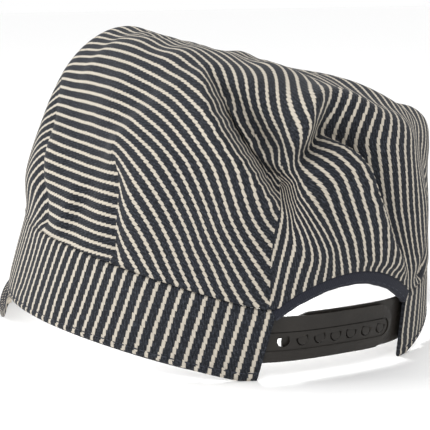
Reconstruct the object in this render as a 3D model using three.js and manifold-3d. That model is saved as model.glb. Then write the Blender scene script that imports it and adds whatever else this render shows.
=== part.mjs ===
// Railroad engineer cap of hickory-striped denim.
// Lengths are millimetres and angles are degrees. The visor points along -Y, the wearer's left
// is +X and +Z is up. The cap stands on the two back corners of its band and on the visor's sides.
// An azimuth is counted from the front centre (0) over the wearer's left (90) to the back (180).

import * as THREE from "three";
import Module from "manifold-3d";

const wasm = await Module();
wasm.setup();

// Head band
const HEM_HALF_WIDTH = 93;
const HEM_HALF_LENGTH = 98;
const HEM_RISE = 15.3;
const HEM_RISE_POWER = 4.5;
const BAND_HEIGHT = 33.5;
const BAND_FRONT_EXTRA = 4;
const BAND_SIDE_LEAN = 9.5;
const BAND_FRONT_LEAN = 3;
const BAND_BACK_LEAN = 9;
const BAND_CLOTH = 2;
const OPENING_HALF_ANGLE = 22;
const SEAM_GAP = 0.3;

// Sweatband inside the head band
const SWEATBAND_CLOTH = 1.2;
const SWEATBAND_HEIGHT = 30;
const SWEATBAND_SHOWS = 0.6;
const SWEATBAND_BACK_GAP = 13;

// Crown
const CROWN_CLOTH = 1.8;
const CROWN_HEIGHT = 117;
const SHOULDER_HEIGHT = 125.5;
const SHOULDER_INSET_SIDE = 20;
const SHOULDER_INSET_FRONT = 12;
const SHOULDER_LIFT_FRONT = 7.3;
const SHOULDER_LIFT_LEFT = 15.6;
const CROWN_SLUMP_RIGHT = 9.5;
const CROWN_SLUMP_BACK = 13.5;
const CROWN_TOP_BACK_SHIFT = -2;
const SHOULDER_SOFTNESS = 0.32;
const WALL_SHARE = 0.57;
const FRONT_PUFF = 6;
const PANEL_PUFF = 3;
const DART_DEPTH = 3.4;
const DART_WIDTH = 8;
const FOLD_DEPTH = 10;
const FOLD_WIDTH = 20;

// Opening at the back and its binding
const ARCH_RISE = 13;
const BINDING_WIDTH = 5.4;
const BINDING_THICKNESS = 2.8;

// Visor
const VISOR_LENGTH = 50;
const VISOR_THICKNESS = 3;
const VISOR_CORNER_AZIMUTH = 70;
const VISOR_TIP_HEIGHT = 5;
const VISOR_SIDE_SHARE = 0.72;
const VISOR_RIM_POWER = 1.6;
const VISOR_SEAM_INSET = 1;

// Snap strap
const STRAP_HEIGHT = 19.2;
const STRAP_THICKNESS = 1.2;
const STRAP_BOTTOM = 7;
const STRAP_GAP = 0.3;
const STRAP_SAG = 2.5;
const STRAP_TUCK = 11;
const STRAP_END_PAST_HOLE = 6.2;
const HOLE_COUNT = 7;
const HOLE_PITCH = 8.38;
const HOLE_DIAMETER = 5;
const HOLE_DROP = 0.8;
const FIRST_HOLE = 28;
const CHANNEL_HEIGHT = 8.2;
const CHANNEL_DEPTH = 0.4;
const POST_CLEARANCE = 0.35;
const POST_HEIGHT = 1.1;
const POST_STRAP_RISE = 0.9;
const POST_STRAP_PAST_POST = 8.9;

// Dart lines from the head band up to the shoulder: azimuth at the band, at half and at the tip,
// and the tip's height as a share of the girth from the band's edge to the middle of the top.
const DARTS = [
  { foot: 24, half: 23, tip: 22, rise: 0.36 },
  { foot: 86, half: 74, tip: 60, rise: 0.4 },
  { foot: 114, half: 111.5, tip: 107, rise: 0.27 },
  { foot: 156, half: 153.5, tip: 152.5, rise: 0.34 },
  { foot: 211, half: 215, tip: 220, rise: 0.36 },
  { foot: 248, half: 250, tip: 251, rise: 0.32 },
  { foot: 292, half: 293, tip: 294, rise: 0.36 },
  { foot: 337, half: 337, tip: 338, rise: 0.36 },
];

// Folds of the crown. route: azimuth and girth share of each point, from the top down.
// crest and valley are shares of FOLD_DEPTH. crestWidth, drop and valleyWidth are shares of
// FOLD_WIDTH: how far the crest swells before the line, how far the cloth takes to fall behind
// it, and how far the valley behind it takes to level out. fade is the share of the route at
// its top over which the fold grows, and tail the share at its foot over which it dies away.
const FOLDS = [
  { name: "left back tuck", crest: 0.8, crestWidth: 1.2, drop: 0.5, valley: 0.6, valleyWidth: 0.5,
    fade: 0.5, tail: 0.25,
    route: [[123, 0.58], [127, 0.5], [130, 0.43], [134, 0.373], [141.5, 0.313], [151, 0.25]] },
  { name: "back left drape", crest: 0.5, crestWidth: 0.6, drop: 0.55, valley: 0.45, valleyWidth: 0.5,
    fade: 0.4, tail: 0.25,
    route: [[169, 0.6], [164, 0.52], [160, 0.45], [156, 0.367]] },
  { name: "back right drape", crest: 0.5, crestWidth: 0.8, drop: 0.55, valley: 0.4, valleyWidth: 0.6,
    fade: 0.35, tail: 0.4,
    route: [[165, 0.45], [173.5, 0.393], [183.5, 0.32], [189, 0.23], [199, 0.06]] },
  { name: "back roll", crest: 0.3, crestWidth: 0.6, drop: 0.8, valley: 0.2, valleyWidth: 0.6,
    fade: 0.3, tail: 0.3,
    route: [[168, 0.54], [182.5, 0.54], [192.5, 0.49], [214, 0.45]] },
  { name: "front left ridge", crest: 0.55, crestWidth: 0.8, drop: 1.2, valley: 0.05, valleyWidth: 0.6,
    fade: 0.3, tail: 0.2,
    route: [[49, 0.66], [57, 0.48], [58, 0.38], [66, 0.25], [87, 0.135], [84, 0.02]] },
  { name: "front right ridge", crest: 0.4, crestWidth: 0.9, drop: 1.0, valley: 0.05, valleyWidth: 0.6,
    fade: 0.3, tail: 0.3,
    route: [[311, 0.62], [303, 0.45], [300, 0.3], [290, 0.1]] },
  { name: "right side tuck", crest: 0.45, crestWidth: 0.8, drop: 0.6, valley: 0.4, valleyWidth: 0.7,
    fade: 0.4, tail: 0.3,
    route: [[236, 0.54], [240, 0.46], [245, 0.37], [251, 0.29], [261, 0.18]] },
  { name: "right shoulder crease", crest: 0.35, crestWidth: 0.9, drop: 0.6, valley: 0.3, valleyWidth: 0.8,
    fade: 0.3, tail: 0.3,
    route: [[260, 0.6], [268, 0.53], [275, 0.42], [281, 0.28]] },
];

const rad = (degrees) => THREE.MathUtils.degToRad(degrees);
const lerp = (a, b, share) => a + (b - a) * share;
const clamp01 = (x) => Math.min(1, Math.max(0, x));
const smooth = (x) => clamp01(x) ** 2 * (3 - 2 * clamp01(x));

const evenly = (from, to, steps) => Array.from({ length: steps + 1 }, (_, i) => lerp(from, to, i / steps));

// The band ends here on both sides of the opening. Its last stretch stands flat on the surface.
const BAND_END = 180 - OPENING_HALF_ANGLE;
const FLAT_FROM = BAND_END - 4;

// Height of the hem over the surface: level at the front, down to it at the band's back corners.
function hemHeight(azimuth) {
  const turn = (1 - Math.cos(rad(azimuth))) / 2;
  const turnAtEnd = (1 - Math.cos(rad(FLAT_FROM))) / 2;
  return Math.max(0, HEM_RISE * (1 - (turn / turnAtEnd) ** HEM_RISE_POWER));
}

function hemPoint(azimuth) {
  const a = rad(azimuth);
  return new THREE.Vector3(HEM_HALF_WIDTH * Math.sin(a), -HEM_HALF_LENGTH * Math.cos(a),
    hemHeight(azimuth));
}

// Seam between the head band and the crown. The front leans back, the sides lean in.
function seamPoint(azimuth) {
  const a = rad(azimuth);
  const front = HEM_HALF_LENGTH - BAND_FRONT_LEAN;
  const back = HEM_HALF_LENGTH + BAND_BACK_LEAN;
  const height = BAND_HEIGHT + BAND_FRONT_EXTRA * Math.cos(a);
  return new THREE.Vector3((HEM_HALF_WIDTH - BAND_SIDE_LEAN) * Math.sin(a),
    (back - front) / 2 - (back + front) / 2 * Math.cos(a), hemHeight(azimuth) + height);
}

// Rise of the arched opening over the line of the seam.
function archRise(azimuth) {
  const across = (azimuth - 180) / OPENING_HALF_ANGLE;
  return Math.abs(across) >= 1 ? 0 : ARCH_RISE * Math.cos(rad(90 * across)) ** 0.8;
}

function crownEdge(azimuth) {
  const edge = seamPoint(azimuth);
  edge.z += archRise(azimuth);
  return edge;
}

// Soft step used for the rounded shoulder: 0 at -1, 1 at 1.
function softRamp(x) {
  const soft = (t) => (t + Math.sqrt(t * t + SHOULDER_SOFTNESS ** 2)) / 2;
  return (soft(x) - soft(-1)) / (soft(1) - soft(-1));
}

// The crown without folds: a wall from the seam to the shoulder, and a top from there inward.
function crownBase(azimuth, girth) {
  const a = rad(azimuth);
  const edge = crownEdge(azimuth);
  const halfWidth = HEM_HALF_WIDTH - BAND_SIDE_LEAN - SHOULDER_INSET_SIDE;
  const halfLength = HEM_HALF_LENGTH + (BAND_BACK_LEAN - BAND_FRONT_LEAN) / 2 - SHOULDER_INSET_FRONT;
  const shoulder = new THREE.Vector3(halfWidth * Math.sin(a) - CROWN_SLUMP_RIGHT,
    (BAND_BACK_LEAN + BAND_FRONT_LEAN) / 2 + CROWN_SLUMP_BACK - halfLength * Math.cos(a),
    SHOULDER_HEIGHT + SHOULDER_LIFT_FRONT * Math.cos(a) + SHOULDER_LIFT_LEFT * Math.sin(a));
  const middle = new THREE.Vector3(-CROWN_SLUMP_RIGHT, CROWN_TOP_BACK_SHIFT, CROWN_HEIGHT);
  const outward = 1 - softRamp((girth - WALL_SHARE) / (1 - WALL_SHARE));
  const downward = softRamp((WALL_SHARE - girth) / WALL_SHARE)
    * smooth((1 - girth) / (1 - WALL_SHARE));
  return middle.clone()
    .addScaledVector(shoulder.clone().sub(middle), outward)
    .addScaledVector(edge.clone().sub(shoulder), downward);
}

function crownNormal(azimuth, girth) {
  const low = Math.max(0, girth - 0.01);
  const high = Math.min(0.985, girth + 0.01);
  const around = crownBase(azimuth + 1, Math.min(girth, 0.97))
    .sub(crownBase(azimuth - 1, Math.min(girth, 0.97)));
  const upward = crownBase(azimuth, high).sub(crownBase(azimuth, Math.min(low, 0.96)));
  return around.cross(upward).normalize();
}

// Flat coordinates for measuring across a fold: length around the head, length up the girth.
const UNROLL_RADIUS = (HEM_HALF_WIDTH + HEM_HALF_LENGTH) / 2 - BAND_SIDE_LEAN;
const UNROLL_GIRTH = SHOULDER_HEIGHT - BAND_HEIGHT - HEM_RISE + HEM_HALF_WIDTH - SHOULDER_INSET_SIDE;
const unroll = (azimuth, girth) => [rad(azimuth) * UNROLL_RADIUS, girth * UNROLL_GIRTH];

function foldOffset(fold, azimuth, girth) {
  const [x, y] = unroll(azimuth, girth);
  const points = fold.route.map(([a, g]) => unroll(a, g));
  let best = { distance: Infinity, side: 0, along: 0 };
  points.slice(1).forEach(([x1, y1], i) => {
    const [x0, y0] = points[i];
    const length = Math.hypot(x1 - x0, y1 - y0);
    const share = clamp01(((x - x0) * (x1 - x0) + (y - y0) * (y1 - y0)) / length ** 2);
    const distance = Math.hypot(x - lerp(x0, x1, share), y - lerp(y0, y1, share));
    if (distance < best.distance) {
      const side = -(x - x0) * (y1 - y0) + (y - y0) * (x1 - x0);
      best = { distance, side: Math.sign(side), along: (i + share) / (points.length - 1) };
    }
  });
  const grow = fold.fade > 0 ? smooth(best.along / fold.fade) : 1;
  const die = smooth((1 - best.along) / fold.tail);
  const d = best.distance / FOLD_WIDTH;
  if (best.side < 0) {
    return grow * die * FOLD_DEPTH * fold.crest * Math.exp(-((d / fold.crestWidth) ** 1.4));
  }
  if (d < fold.drop) {
    const share = smooth(d / fold.drop);
    return grow * die * FOLD_DEPTH * lerp(fold.crest, -fold.valley, share);
  }
  return -grow * die * FOLD_DEPTH * fold.valley
    * Math.exp(-(((d - fold.drop) / fold.valleyWidth) ** 1.4));
}

// Azimuth of a dart's line at a girth share: a curve through its foot, half and tip.
function dartAzimuth(dart, girth) {
  const t = clamp01(girth / dart.rise);
  const bend = 4 * dart.half - dart.foot * 2 - dart.tip * 2;
  return lerp(dart.foot, dart.tip, t) + bend * t * (1 - t);
}

function dartOffset(azimuth, girth) {
  return DARTS.reduce((sum, dart) => {
    const off = rad(azimuth - dartAzimuth(dart, girth)) * UNROLL_RADIUS / DART_WIDTH;
    const fade = smooth((dart.rise - girth) / (dart.rise * 0.4));
    return sum - DART_DEPTH * fade * Math.exp(-(Math.abs(off) ** 1.3));
  }, 0);
}

// Fullness of the gathered cloth between two darts, and of the front over the band.
function puffOffset(azimuth, girth) {
  const between = Math.sin(rad(azimuth * 4)) ** 2;
  const panel = PANEL_PUFF * between * smooth(girth / 0.12) * smooth((0.55 - girth) / 0.3);
  const facing = Math.max(0, Math.cos(rad(azimuth))) ** 1.5;
  const front = FRONT_PUFF * facing * Math.exp(-(((girth - 0.13) / 0.12) ** 2)) * smooth(girth / 0.05);
  return panel + front;
}

function crownPoint(azimuth, girth, depth) {
  const turn = ((azimuth % 360) + 360) % 360;
  const calm = smooth((0.9 - girth) / 0.2);
  const lift = smooth(girth / 0.03);
  const folds = FOLDS.reduce((sum, fold) => sum + foldOffset(fold, turn, girth), 0);
  const offset = calm * lift * (folds + puffOffset(turn, girth)) + dartOffset(turn, girth) * lift;
  const point = crownBase(turn, girth);
  point.z += SEAM_GAP;
  if (girth === 0) {
    const inward = new THREE.Vector3(-Math.sin(rad(turn)), Math.cos(rad(turn)), 0);
    return point.addScaledVector(inward, depth);
  }
  return point.addScaledVector(crownNormal(turn, girth), offset - depth);
}

// Turns points and triangles into a closed mesh geometry whose faces point out.
function solidGeometry(points, triangles) {
  const positions = points.flatMap((p) => [p.x, p.y, p.z]);
  let volume = 0;
  triangles.forEach(([i, j, k]) => {
    volume += points[i].dot(points[j].clone().cross(points[k]));
  });
  const index = triangles.flatMap(([i, j, k]) => (volume < 0 ? [i, k, j] : [i, j, k]));
  const geometry = new THREE.BufferGeometry();
  geometry.setAttribute("position", new THREE.Float32BufferAttribute(positions, 3));
  geometry.setIndex(index);
  geometry.computeVertexNormals();
  return geometry;
}

// A ring-shaped section swept along stations: section(i) gives the points of one closed outline.
// The sweep is closed into a loop, or capped at both ends.
function sweep(stations, section, loop) {
  const rings = Array.from({ length: stations }, (_, i) => section(i));
  const around = rings[0].length;
  const points = rings.flat();
  const triangles = [];
  const spans = loop ? stations : stations - 1;
  for (let i = 0; i < spans; i += 1) {
    const next = (i + 1) % stations;
    for (let j = 0; j < around; j += 1) {
      const a = i * around + j;
      const b = i * around + ((j + 1) % around);
      const c = next * around + j;
      const d = next * around + ((j + 1) % around);
      triangles.push([a, c, b], [b, c, d]);
    }
  }
  if (!loop) {
    [0, stations - 1].forEach((ring) => {
      for (let j = 0; j < around / 2 - 1; j += 1) {
        const [a, b, c, d] = [j, j + 1, around - 2 - j, around - 1 - j].map((k) => ring * around + k);
        if (ring === 0) triangles.push([a, b, c], [a, c, d]);
        else triangles.push([a, c, b], [a, d, c]);
      }
    });
  }
  return solidGeometry(points, triangles);
}

// Crown: outer skin from the edge up to the middle, and the inner skin back down.
// Columns stand closer together over the arch, at the binding's own azimuths, and in the sectors
// of the big folds. Rows are closer together at the height of the folds.
const ARCH_STEPS = 18;
const archAzimuth = (step) => 180 - OPENING_HALF_ANGLE * Math.cos(rad(180 * step / ARCH_STEPS));
const COLUMN_SECTORS = [
  { from: 360 - BAND_END, to: 228, steps: 8 },
  { from: 228, to: 268, steps: 11 },
  { from: 268, to: 360 + 114, steps: 38 },
  { from: 360 + 114, to: 360 + BAND_END, steps: 19 },
];
const crownAzimuths = [
  ...Array.from({ length: ARCH_STEPS }, (_, i) => archAzimuth(i)),
  ...COLUMN_SECTORS.flatMap(({ from, to, steps }) => evenly(from, to, steps).slice(0, -1)),
];
const crownGirths = [0, 0.045, 0.09, 0.135, 0.18, 0.22, 0.26, 0.3, 0.34, 0.38, 0.42, 0.46, 0.5, 0.545,
  0.6, 0.67, 0.76, 0.88];
const CROWN_COLUMNS = crownAzimuths.length;
const CROWN_ROWS = crownGirths.length;
function crownGeometry() {
  const points = [];
  const triangles = [];
  const skins = [0, CROWN_CLOTH];
  skins.forEach((depth) => {
    for (let row = 0; row < CROWN_ROWS; row += 1) {
      const girth = crownGirths[row];
      for (let column = 0; column < CROWN_COLUMNS; column += 1) {
        points.push(crownPoint(crownAzimuths[column], girth, depth));
      }
    }
    const middle = crownBase(0, 1);
    points.push(middle.setZ(middle.z - depth));
  });
  const skinSize = CROWN_ROWS * CROWN_COLUMNS + 1;
  skins.forEach((_, skin) => {
    const start = skin * skinSize;
    const face = (a, b, c) => triangles.push(skin === 0 ? [a, b, c] : [a, c, b]);
    for (let column = 0; column < CROWN_COLUMNS; column += 1) {
      const next = (column + 1) % CROWN_COLUMNS;
      for (let row = 0; row < CROWN_ROWS - 1; row += 1) {
        const low = start + row * CROWN_COLUMNS;
        const high = low + CROWN_COLUMNS;
        face(low + column, low + next, high + column);
        face(low + next, high + next, high + column);
      }
      const last = start + (CROWN_ROWS - 1) * CROWN_COLUMNS;
      face(last + column, last + next, start + skinSize - 1);
    }
  });
  for (let column = 0; column < CROWN_COLUMNS; column += 1) {
    const next = (column + 1) % CROWN_COLUMNS;
    triangles.push([column, skinSize + column, skinSize + next], [column, skinSize + next, next]);
  }
  return solidGeometry(points, triangles);
}

// Wall of the head band at an azimuth: point at a height share, pushed in by depth.
function bandWall(azimuth, share, depth) {
  const low = hemPoint(azimuth);
  const high = seamPoint(azimuth);
  const inward = new THREE.Vector3(-Math.sin(rad(azimuth)) / HEM_HALF_WIDTH,
    Math.cos(rad(azimuth)) / HEM_HALF_LENGTH, 0).normalize();
  return low.lerp(high, share).addScaledVector(inward, depth);
}

// A strip of cloth that follows the band's wall between two height functions.
function wallStrip(azimuths, rows, bottom, top, depth, thickness) {
  return sweep(azimuths.length, (i) => {
    const azimuth = azimuths[i];
    const height = seamPoint(azimuth).z - hemHeight(azimuth);
    const low = bottom(azimuth) / height;
    const high = top(azimuth) / height;
    const outer = Array.from({ length: rows + 1 },
      (_, k) => bandWall(azimuth, lerp(low, high, k / rows), depth));
    const inner = Array.from({ length: rows + 1 },
      (_, k) => bandWall(azimuth, lerp(high, low, k / rows), depth + thickness));
    return [...outer, ...inner];
  }, false);
}

function bandGeometry() {
  const shows = (azimuth) => Math.min(SWEATBAND_SHOWS, hemHeight(azimuth) / 5);
  const full = (azimuth) => seamPoint(azimuth).z - hemHeight(azimuth);
  const azimuths = [-BAND_END, ...evenly(-FLAT_FROM, FLAT_FROM, 64), BAND_END];
  return wallStrip(azimuths, 3, shows, full, 0, BAND_CLOTH);
}

function sweatbandGeometry() {
  const depth = BAND_CLOTH + SEAM_GAP;
  const end = BAND_END - SWEATBAND_BACK_GAP;
  return wallStrip(evenly(-end, end, 48), 2, () => 0, () => SWEATBAND_HEIGHT, depth,
    SWEATBAND_CLOTH);
}

// Binding of the arched opening: a folded tape that hangs under the crown's edge.
function bindingGeometry() {
  return sweep(ARCH_STEPS + 1, (i) => {
    const share = i / ARCH_STEPS;
    const azimuth = lerp(180, archAzimuth(i), 1 - 0.4 / OPENING_HALF_ANGLE);
    const edge = crownEdge(azimuth);
    const tuck = lerp(0.45, 1, smooth(Math.min(share, 1 - share) / 0.12));
    const width = BINDING_WIDTH * tuck;
    const inward = new THREE.Vector3(-Math.sin(rad(azimuth)), Math.cos(rad(azimuth)), 0);
    const lean = BAND_BACK_LEAN / BAND_HEIGHT;
    const at = (drop, depth) => {
      const point = edge.clone().addScaledVector(inward, depth + drop * lean);
      return point.setZ(point.z - drop);
    };
    const half = BINDING_THICKNESS / 2;
    return [at(0, 0), at(width * 0.85, 0), at(width, half * 0.6), at(width, half * 1.4),
      at(width * 0.85, BINDING_THICKNESS), at(0, BINDING_THICKNESS)];
  }, false);
}

// Visor: from the hem, share 0, to its outer edge, share 1. across runs from -1 to 1.
function visorPoint(across, share, depth) {
  const azimuth = across * VISOR_CORNER_AZIMUTH;
  const seam = hemPoint(azimuth);
  seam.x *= 1 - VISOR_SEAM_INSET / HEM_HALF_WIDTH;
  seam.y *= 1 - VISOR_SEAM_INSET / HEM_HALF_LENGTH;
  seam.z -= SEAM_GAP;
  const corner = hemPoint(VISOR_CORNER_AZIMUTH);
  const swing = rad(across * 90);
  const reach = HEM_HALF_LENGTH + VISOR_LENGTH + corner.y;
  const rim = new THREE.Vector3(corner.x * Math.sin(swing),
    corner.y - reach * Math.cos(swing) ** VISOR_RIM_POWER, 0);
  const side = Math.min(1, Math.abs(across) / VISOR_SIDE_SHARE);
  const corners = clamp01((Math.abs(across) - VISOR_SIDE_SHARE) / (1 - VISOR_SIDE_SHARE));
  rim.z = VISOR_THICKNESS + VISOR_TIP_HEIGHT * Math.cos(rad(90 * side)) ** 2
    + (corner.z - SEAM_GAP - VISOR_THICKNESS) * corners ** 2;
  const point = seam.lerp(rim, share);
  point.z -= depth;
  return point;
}

function visorGeometry() {
  const rows = 5;
  return sweep(33, (i) => {
    const across = Math.sin(rad(lerp(-84, 84, i / 32)));
    const top = Array.from({ length: rows + 1 }, (_, k) => visorPoint(across, k / rows, 0));
    const under = Array.from({ length: rows + 1 },
      (_, k) => visorPoint(across, 1 - k / rows, VISOR_THICKNESS));
    return [...top, ...under];
  }, false);
}

// The strap follows the inner face of the head band and flattens a little between its ends.
// A place counts across the back from the middle, towards the wearer's left. Height counts up
// from the strap's bottom edge, and depth counts inward from its outer face.
const strapEnd = HEM_HALF_WIDTH * Math.sin(rad(BAND_END));
function strapPoint(place, height, depth) {
  const azimuth = 180 - THREE.MathUtils.radToDeg(Math.asin(place / HEM_HALF_WIDTH));
  const low = hemHeight(azimuth);
  const share = (STRAP_BOTTOM + height - low) / (seamPoint(azimuth).z - low);
  const across = Math.min(1, Math.abs(place / strapEnd));
  const sag = STRAP_SAG * (1 - across ** 2) ** 2;
  return bandWall(azimuth, share, BAND_CLOTH + STRAP_GAP + sag + depth);
}

// A strap between two places, with a round end at one of them.
function strapSolid(from, to, bottom, top, depth, thickness, steps) {
  const half = (top - bottom) / 2;
  const middle = (top + bottom) / 2;
  return sweep(steps + 1, (i) => {
    const x = lerp(from, to, 1 - (1 - i / steps) ** 1.6);
    const left = Math.abs(to - x);
    const high = left >= half ? half : Math.sqrt(Math.max(0.04, half ** 2 - (half - left) ** 2));
    return [strapPoint(x, middle - high, depth), strapPoint(x, middle, depth),
      strapPoint(x, middle + high, depth), strapPoint(x, middle + high, depth + thickness),
      strapPoint(x, middle, depth + thickness), strapPoint(x, middle - high, depth + thickness)];
  }, false);
}

const holePlaces = Array.from({ length: HOLE_COUNT }, (_, i) => FIRST_HOLE - i * HOLE_PITCH);
const holeHeight = STRAP_HEIGHT / 2 - HOLE_DROP;

// A round pin through the strap at a place, from one depth to another.
function pinGeometry(place, diameter, fromDepth, toDepth, sides) {
  const near = strapPoint(place, holeHeight, fromDepth);
  const far = strapPoint(place, holeHeight, toDepth);
  const pin = new THREE.CylinderGeometry(diameter / 2, diameter / 2, near.distanceTo(far), sides);
  const turn = new THREE.Quaternion().setFromUnitVectors(new THREE.Vector3(0, 1, 0),
    near.clone().sub(far).normalize());
  pin.applyQuaternion(turn);
  const middle = near.add(far).multiplyScalar(0.5);
  return pin.translate(middle.x, middle.y, middle.z);
}

// Boolean helpers
function toManifold(geometry) {
  const index = geometry.getIndex().array;
  const position = geometry.getAttribute("position");
  const found = new Map();
  const vertices = [];
  const remap = Array.from({ length: position.count }, (_, i) => {
    const xyz = [position.getX(i), position.getY(i), position.getZ(i)];
    const key = xyz.map((value) => Math.round(value * 1e4)).join(" ");
    if (!found.has(key)) {
      found.set(key, vertices.length / 3);
      vertices.push(...xyz);
    }
    return found.get(key);
  });
  const triangles = [];
  for (let i = 0; i < index.length; i += 3) {
    const corners = [remap[index[i]], remap[index[i + 1]], remap[index[i + 2]]];
    if (new Set(corners).size === 3) triangles.push(...corners);
  }
  return new wasm.Manifold(new wasm.Mesh({
    numProp: 3,
    vertProperties: new Float32Array(vertices),
    triVerts: new Uint32Array(triangles),
  }));
}

function fromManifold(solid) {
  const mesh = solid.getMesh();
  const geometry = new THREE.BufferGeometry();
  geometry.setAttribute("position", new THREE.BufferAttribute(new Float32Array(mesh.vertProperties), 3));
  geometry.setIndex(new THREE.BufferAttribute(new Uint32Array(mesh.triVerts), 1));
  geometry.computeVertexNormals();
  return geometry;
}

// Outer strap, from the wearer's left: holes in a shallow channel.
function holeStrapGeometry() {
  const start = strapEnd + STRAP_TUCK;
  const end = holePlaces[HOLE_COUNT - 1] - STRAP_END_PAST_HOLE;
  let strap = toManifold(strapSolid(start, end, 0, STRAP_HEIGHT, 0, STRAP_THICKNESS, 22));
  const channelBottom = holeHeight - CHANNEL_HEIGHT / 2;
  strap = strap.subtract(toManifold(strapSolid(strapEnd + 1, end + 1, channelBottom,
    channelBottom + CHANNEL_HEIGHT, -1, 1 + CHANNEL_DEPTH, 18)));
  holePlaces.forEach((place) => {
    strap = strap.subtract(toManifold(pinGeometry(place, HOLE_DIAMETER, -2, STRAP_THICKNESS + 1, 14)));
  });
  return fromManifold(strap);
}

// Inner strap, from the wearer's right: round posts that stand in the holes.
function postStrapGeometry() {
  const depth = STRAP_THICKNESS + STRAP_GAP;
  const end = holePlaces[1] + POST_STRAP_PAST_POST;
  let strap = toManifold(strapSolid(-strapEnd - STRAP_TUCK, end, 0, STRAP_HEIGHT + POST_STRAP_RISE,
    depth, STRAP_THICKNESS, 22));
  holePlaces.slice(1).forEach((place) => {
    const post = pinGeometry(place, HOLE_DIAMETER - 2 * POST_CLEARANCE, depth - POST_HEIGHT,
      depth + STRAP_THICKNESS / 2, 12);
    strap = strap.add(toManifold(post));
  });
  return fromManifold(strap);
}

const denim = { color: 0x3a4358, roughness: 0.92, metalness: 0 };
const lining = { color: 0x1b1c22, roughness: 0.95, metalness: 0 };
const tape = { color: 0x23263a, roughness: 0.85, metalness: 0 };
const plastic = { color: 0x3d3a36, roughness: 0.55, metalness: 0 };

const cap = new THREE.Group();
function addPiece(name, geometry, finish) {
  const mesh = new THREE.Mesh(geometry, new THREE.MeshStandardMaterial(finish));
  mesh.name = name;
  cap.add(mesh);
}
addPiece("crown", crownGeometry(), denim);
addPiece("head_band", bandGeometry(), denim);
addPiece("sweatband", sweatbandGeometry(), lining);
addPiece("visor", visorGeometry(), denim);
addPiece("opening_binding", bindingGeometry(), tape);
addPiece("snap_strap_holes", holeStrapGeometry(), plastic);
addPiece("snap_strap_posts", postStrapGeometry(), plastic);

// The origin lies under the middle of the whole cap, on the surface it stands on.
const extent = new THREE.Box3().setFromObject(cap);
const middle = extent.getCenter(new THREE.Vector3());
cap.children.forEach((piece) => piece.geometry.translate(-middle.x, -middle.y, -extent.min.z));

export default cap;
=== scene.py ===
# %% [markdown]
# # A railroad engineer cap of hickory stripe denim
# The real cap is sewn from one round of striped cloth, gathered by darts into a straight head
# band. It has a short stiff visor, and a plastic snap strap across an arched opening at the back.
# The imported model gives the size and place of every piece. This script loads it, lays a finer
# skin of cloth over each soft solid and finishes every surface. Lengths here are metres.

import math

import bmesh
import bpy
import numpy as np
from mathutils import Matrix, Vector


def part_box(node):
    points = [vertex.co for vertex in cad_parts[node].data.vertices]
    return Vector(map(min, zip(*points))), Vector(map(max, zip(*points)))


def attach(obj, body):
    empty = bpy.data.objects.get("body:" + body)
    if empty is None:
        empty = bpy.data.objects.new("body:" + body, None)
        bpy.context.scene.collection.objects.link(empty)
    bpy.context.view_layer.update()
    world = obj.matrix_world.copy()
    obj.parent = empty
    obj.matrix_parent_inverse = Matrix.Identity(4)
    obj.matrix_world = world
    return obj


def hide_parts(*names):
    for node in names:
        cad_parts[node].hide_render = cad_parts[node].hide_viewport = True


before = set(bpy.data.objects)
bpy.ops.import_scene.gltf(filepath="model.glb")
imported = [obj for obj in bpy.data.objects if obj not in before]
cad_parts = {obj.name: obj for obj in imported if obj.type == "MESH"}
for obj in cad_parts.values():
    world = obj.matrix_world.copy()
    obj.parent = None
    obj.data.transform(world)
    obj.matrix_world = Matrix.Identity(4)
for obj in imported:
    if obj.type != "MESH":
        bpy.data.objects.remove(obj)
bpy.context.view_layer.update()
MM = 0.001
PHOTO_PIXELS = 430
print("nodes", sorted(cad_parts))

# %% [markdown]
# ## The camera
# The photo is taken from behind and to the wearer's left, with a long lens and the camera level
# with the top of the cap. A camera solved from the places of the band, the strap and the seams
# gives the azimuth, the height and the distance below. It comes first, so that every later
# piece can be judged against the photo.

# %% Camera
VISOR_REACH = 148 * MM
shift_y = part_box("visor")[0][1] + VISOR_REACH
CAMERA_AZIMUTH = math.radians(149.4)
CAMERA_ELEVATION = math.radians(9.96)
CAMERA_DISTANCE = 636.5 * MM
PIXELS_PER_METRE = 2228.0
SENSOR_WIDTH = 36.0
AIM_HEIGHT = 48.7 * MM

aim = Vector((0, shift_y, AIM_HEIGHT))
away = Vector((
    math.sin(CAMERA_AZIMUTH) * math.cos(CAMERA_ELEVATION),
    -math.cos(CAMERA_AZIMUTH) * math.cos(CAMERA_ELEVATION),
    math.sin(CAMERA_ELEVATION),
))
camera_data = bpy.data.cameras.new("photo_camera")
camera_data.sensor_width = SENSOR_WIDTH
camera_data.lens = PIXELS_PER_METRE * CAMERA_DISTANCE / PHOTO_PIXELS * SENSOR_WIDTH
camera_data.clip_start = 0.01
camera = bpy.data.objects.new("photo_camera", camera_data)
camera.location = aim + away * CAMERA_DISTANCE
camera.rotation_euler = (-away).to_track_quat("-Z", "Y").to_euler()
bpy.context.scene.collection.objects.link(camera)
bpy.context.scene.camera = camera
print("camera", [round(c, 3) for c in camera.location], "lens", round(camera_data.lens, 1), "mm")

# %% [markdown]
# ## The sizes of the cap
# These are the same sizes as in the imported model, where they are millimetres. An azimuth runs
# from the front over the wearer's left to the back, in degrees, so 90 is the left side.

# %% Sizes and curves of the band
HEM_HALF_WIDTH = 93.0
HEM_HALF_LENGTH = 98.0
HEM_RISE = 15.3
HEM_RISE_POWER = 4.5
BAND_HEIGHT = 33.5
BAND_FRONT_EXTRA = 4.0
BAND_SIDE_LEAN = 9.5
BAND_FRONT_LEAN = 3.0
BAND_BACK_LEAN = 9.0
BAND_CLOTH = 2.0
OPENING_HALF_ANGLE = 22.0
BAND_END = 180.0 - OPENING_HALF_ANGLE
FLAT_FROM = BAND_END - 4.0
ARCH_RISE = 13.0
ARCH_POWER = 0.8
SEAM_GAP = 0.3


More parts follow.
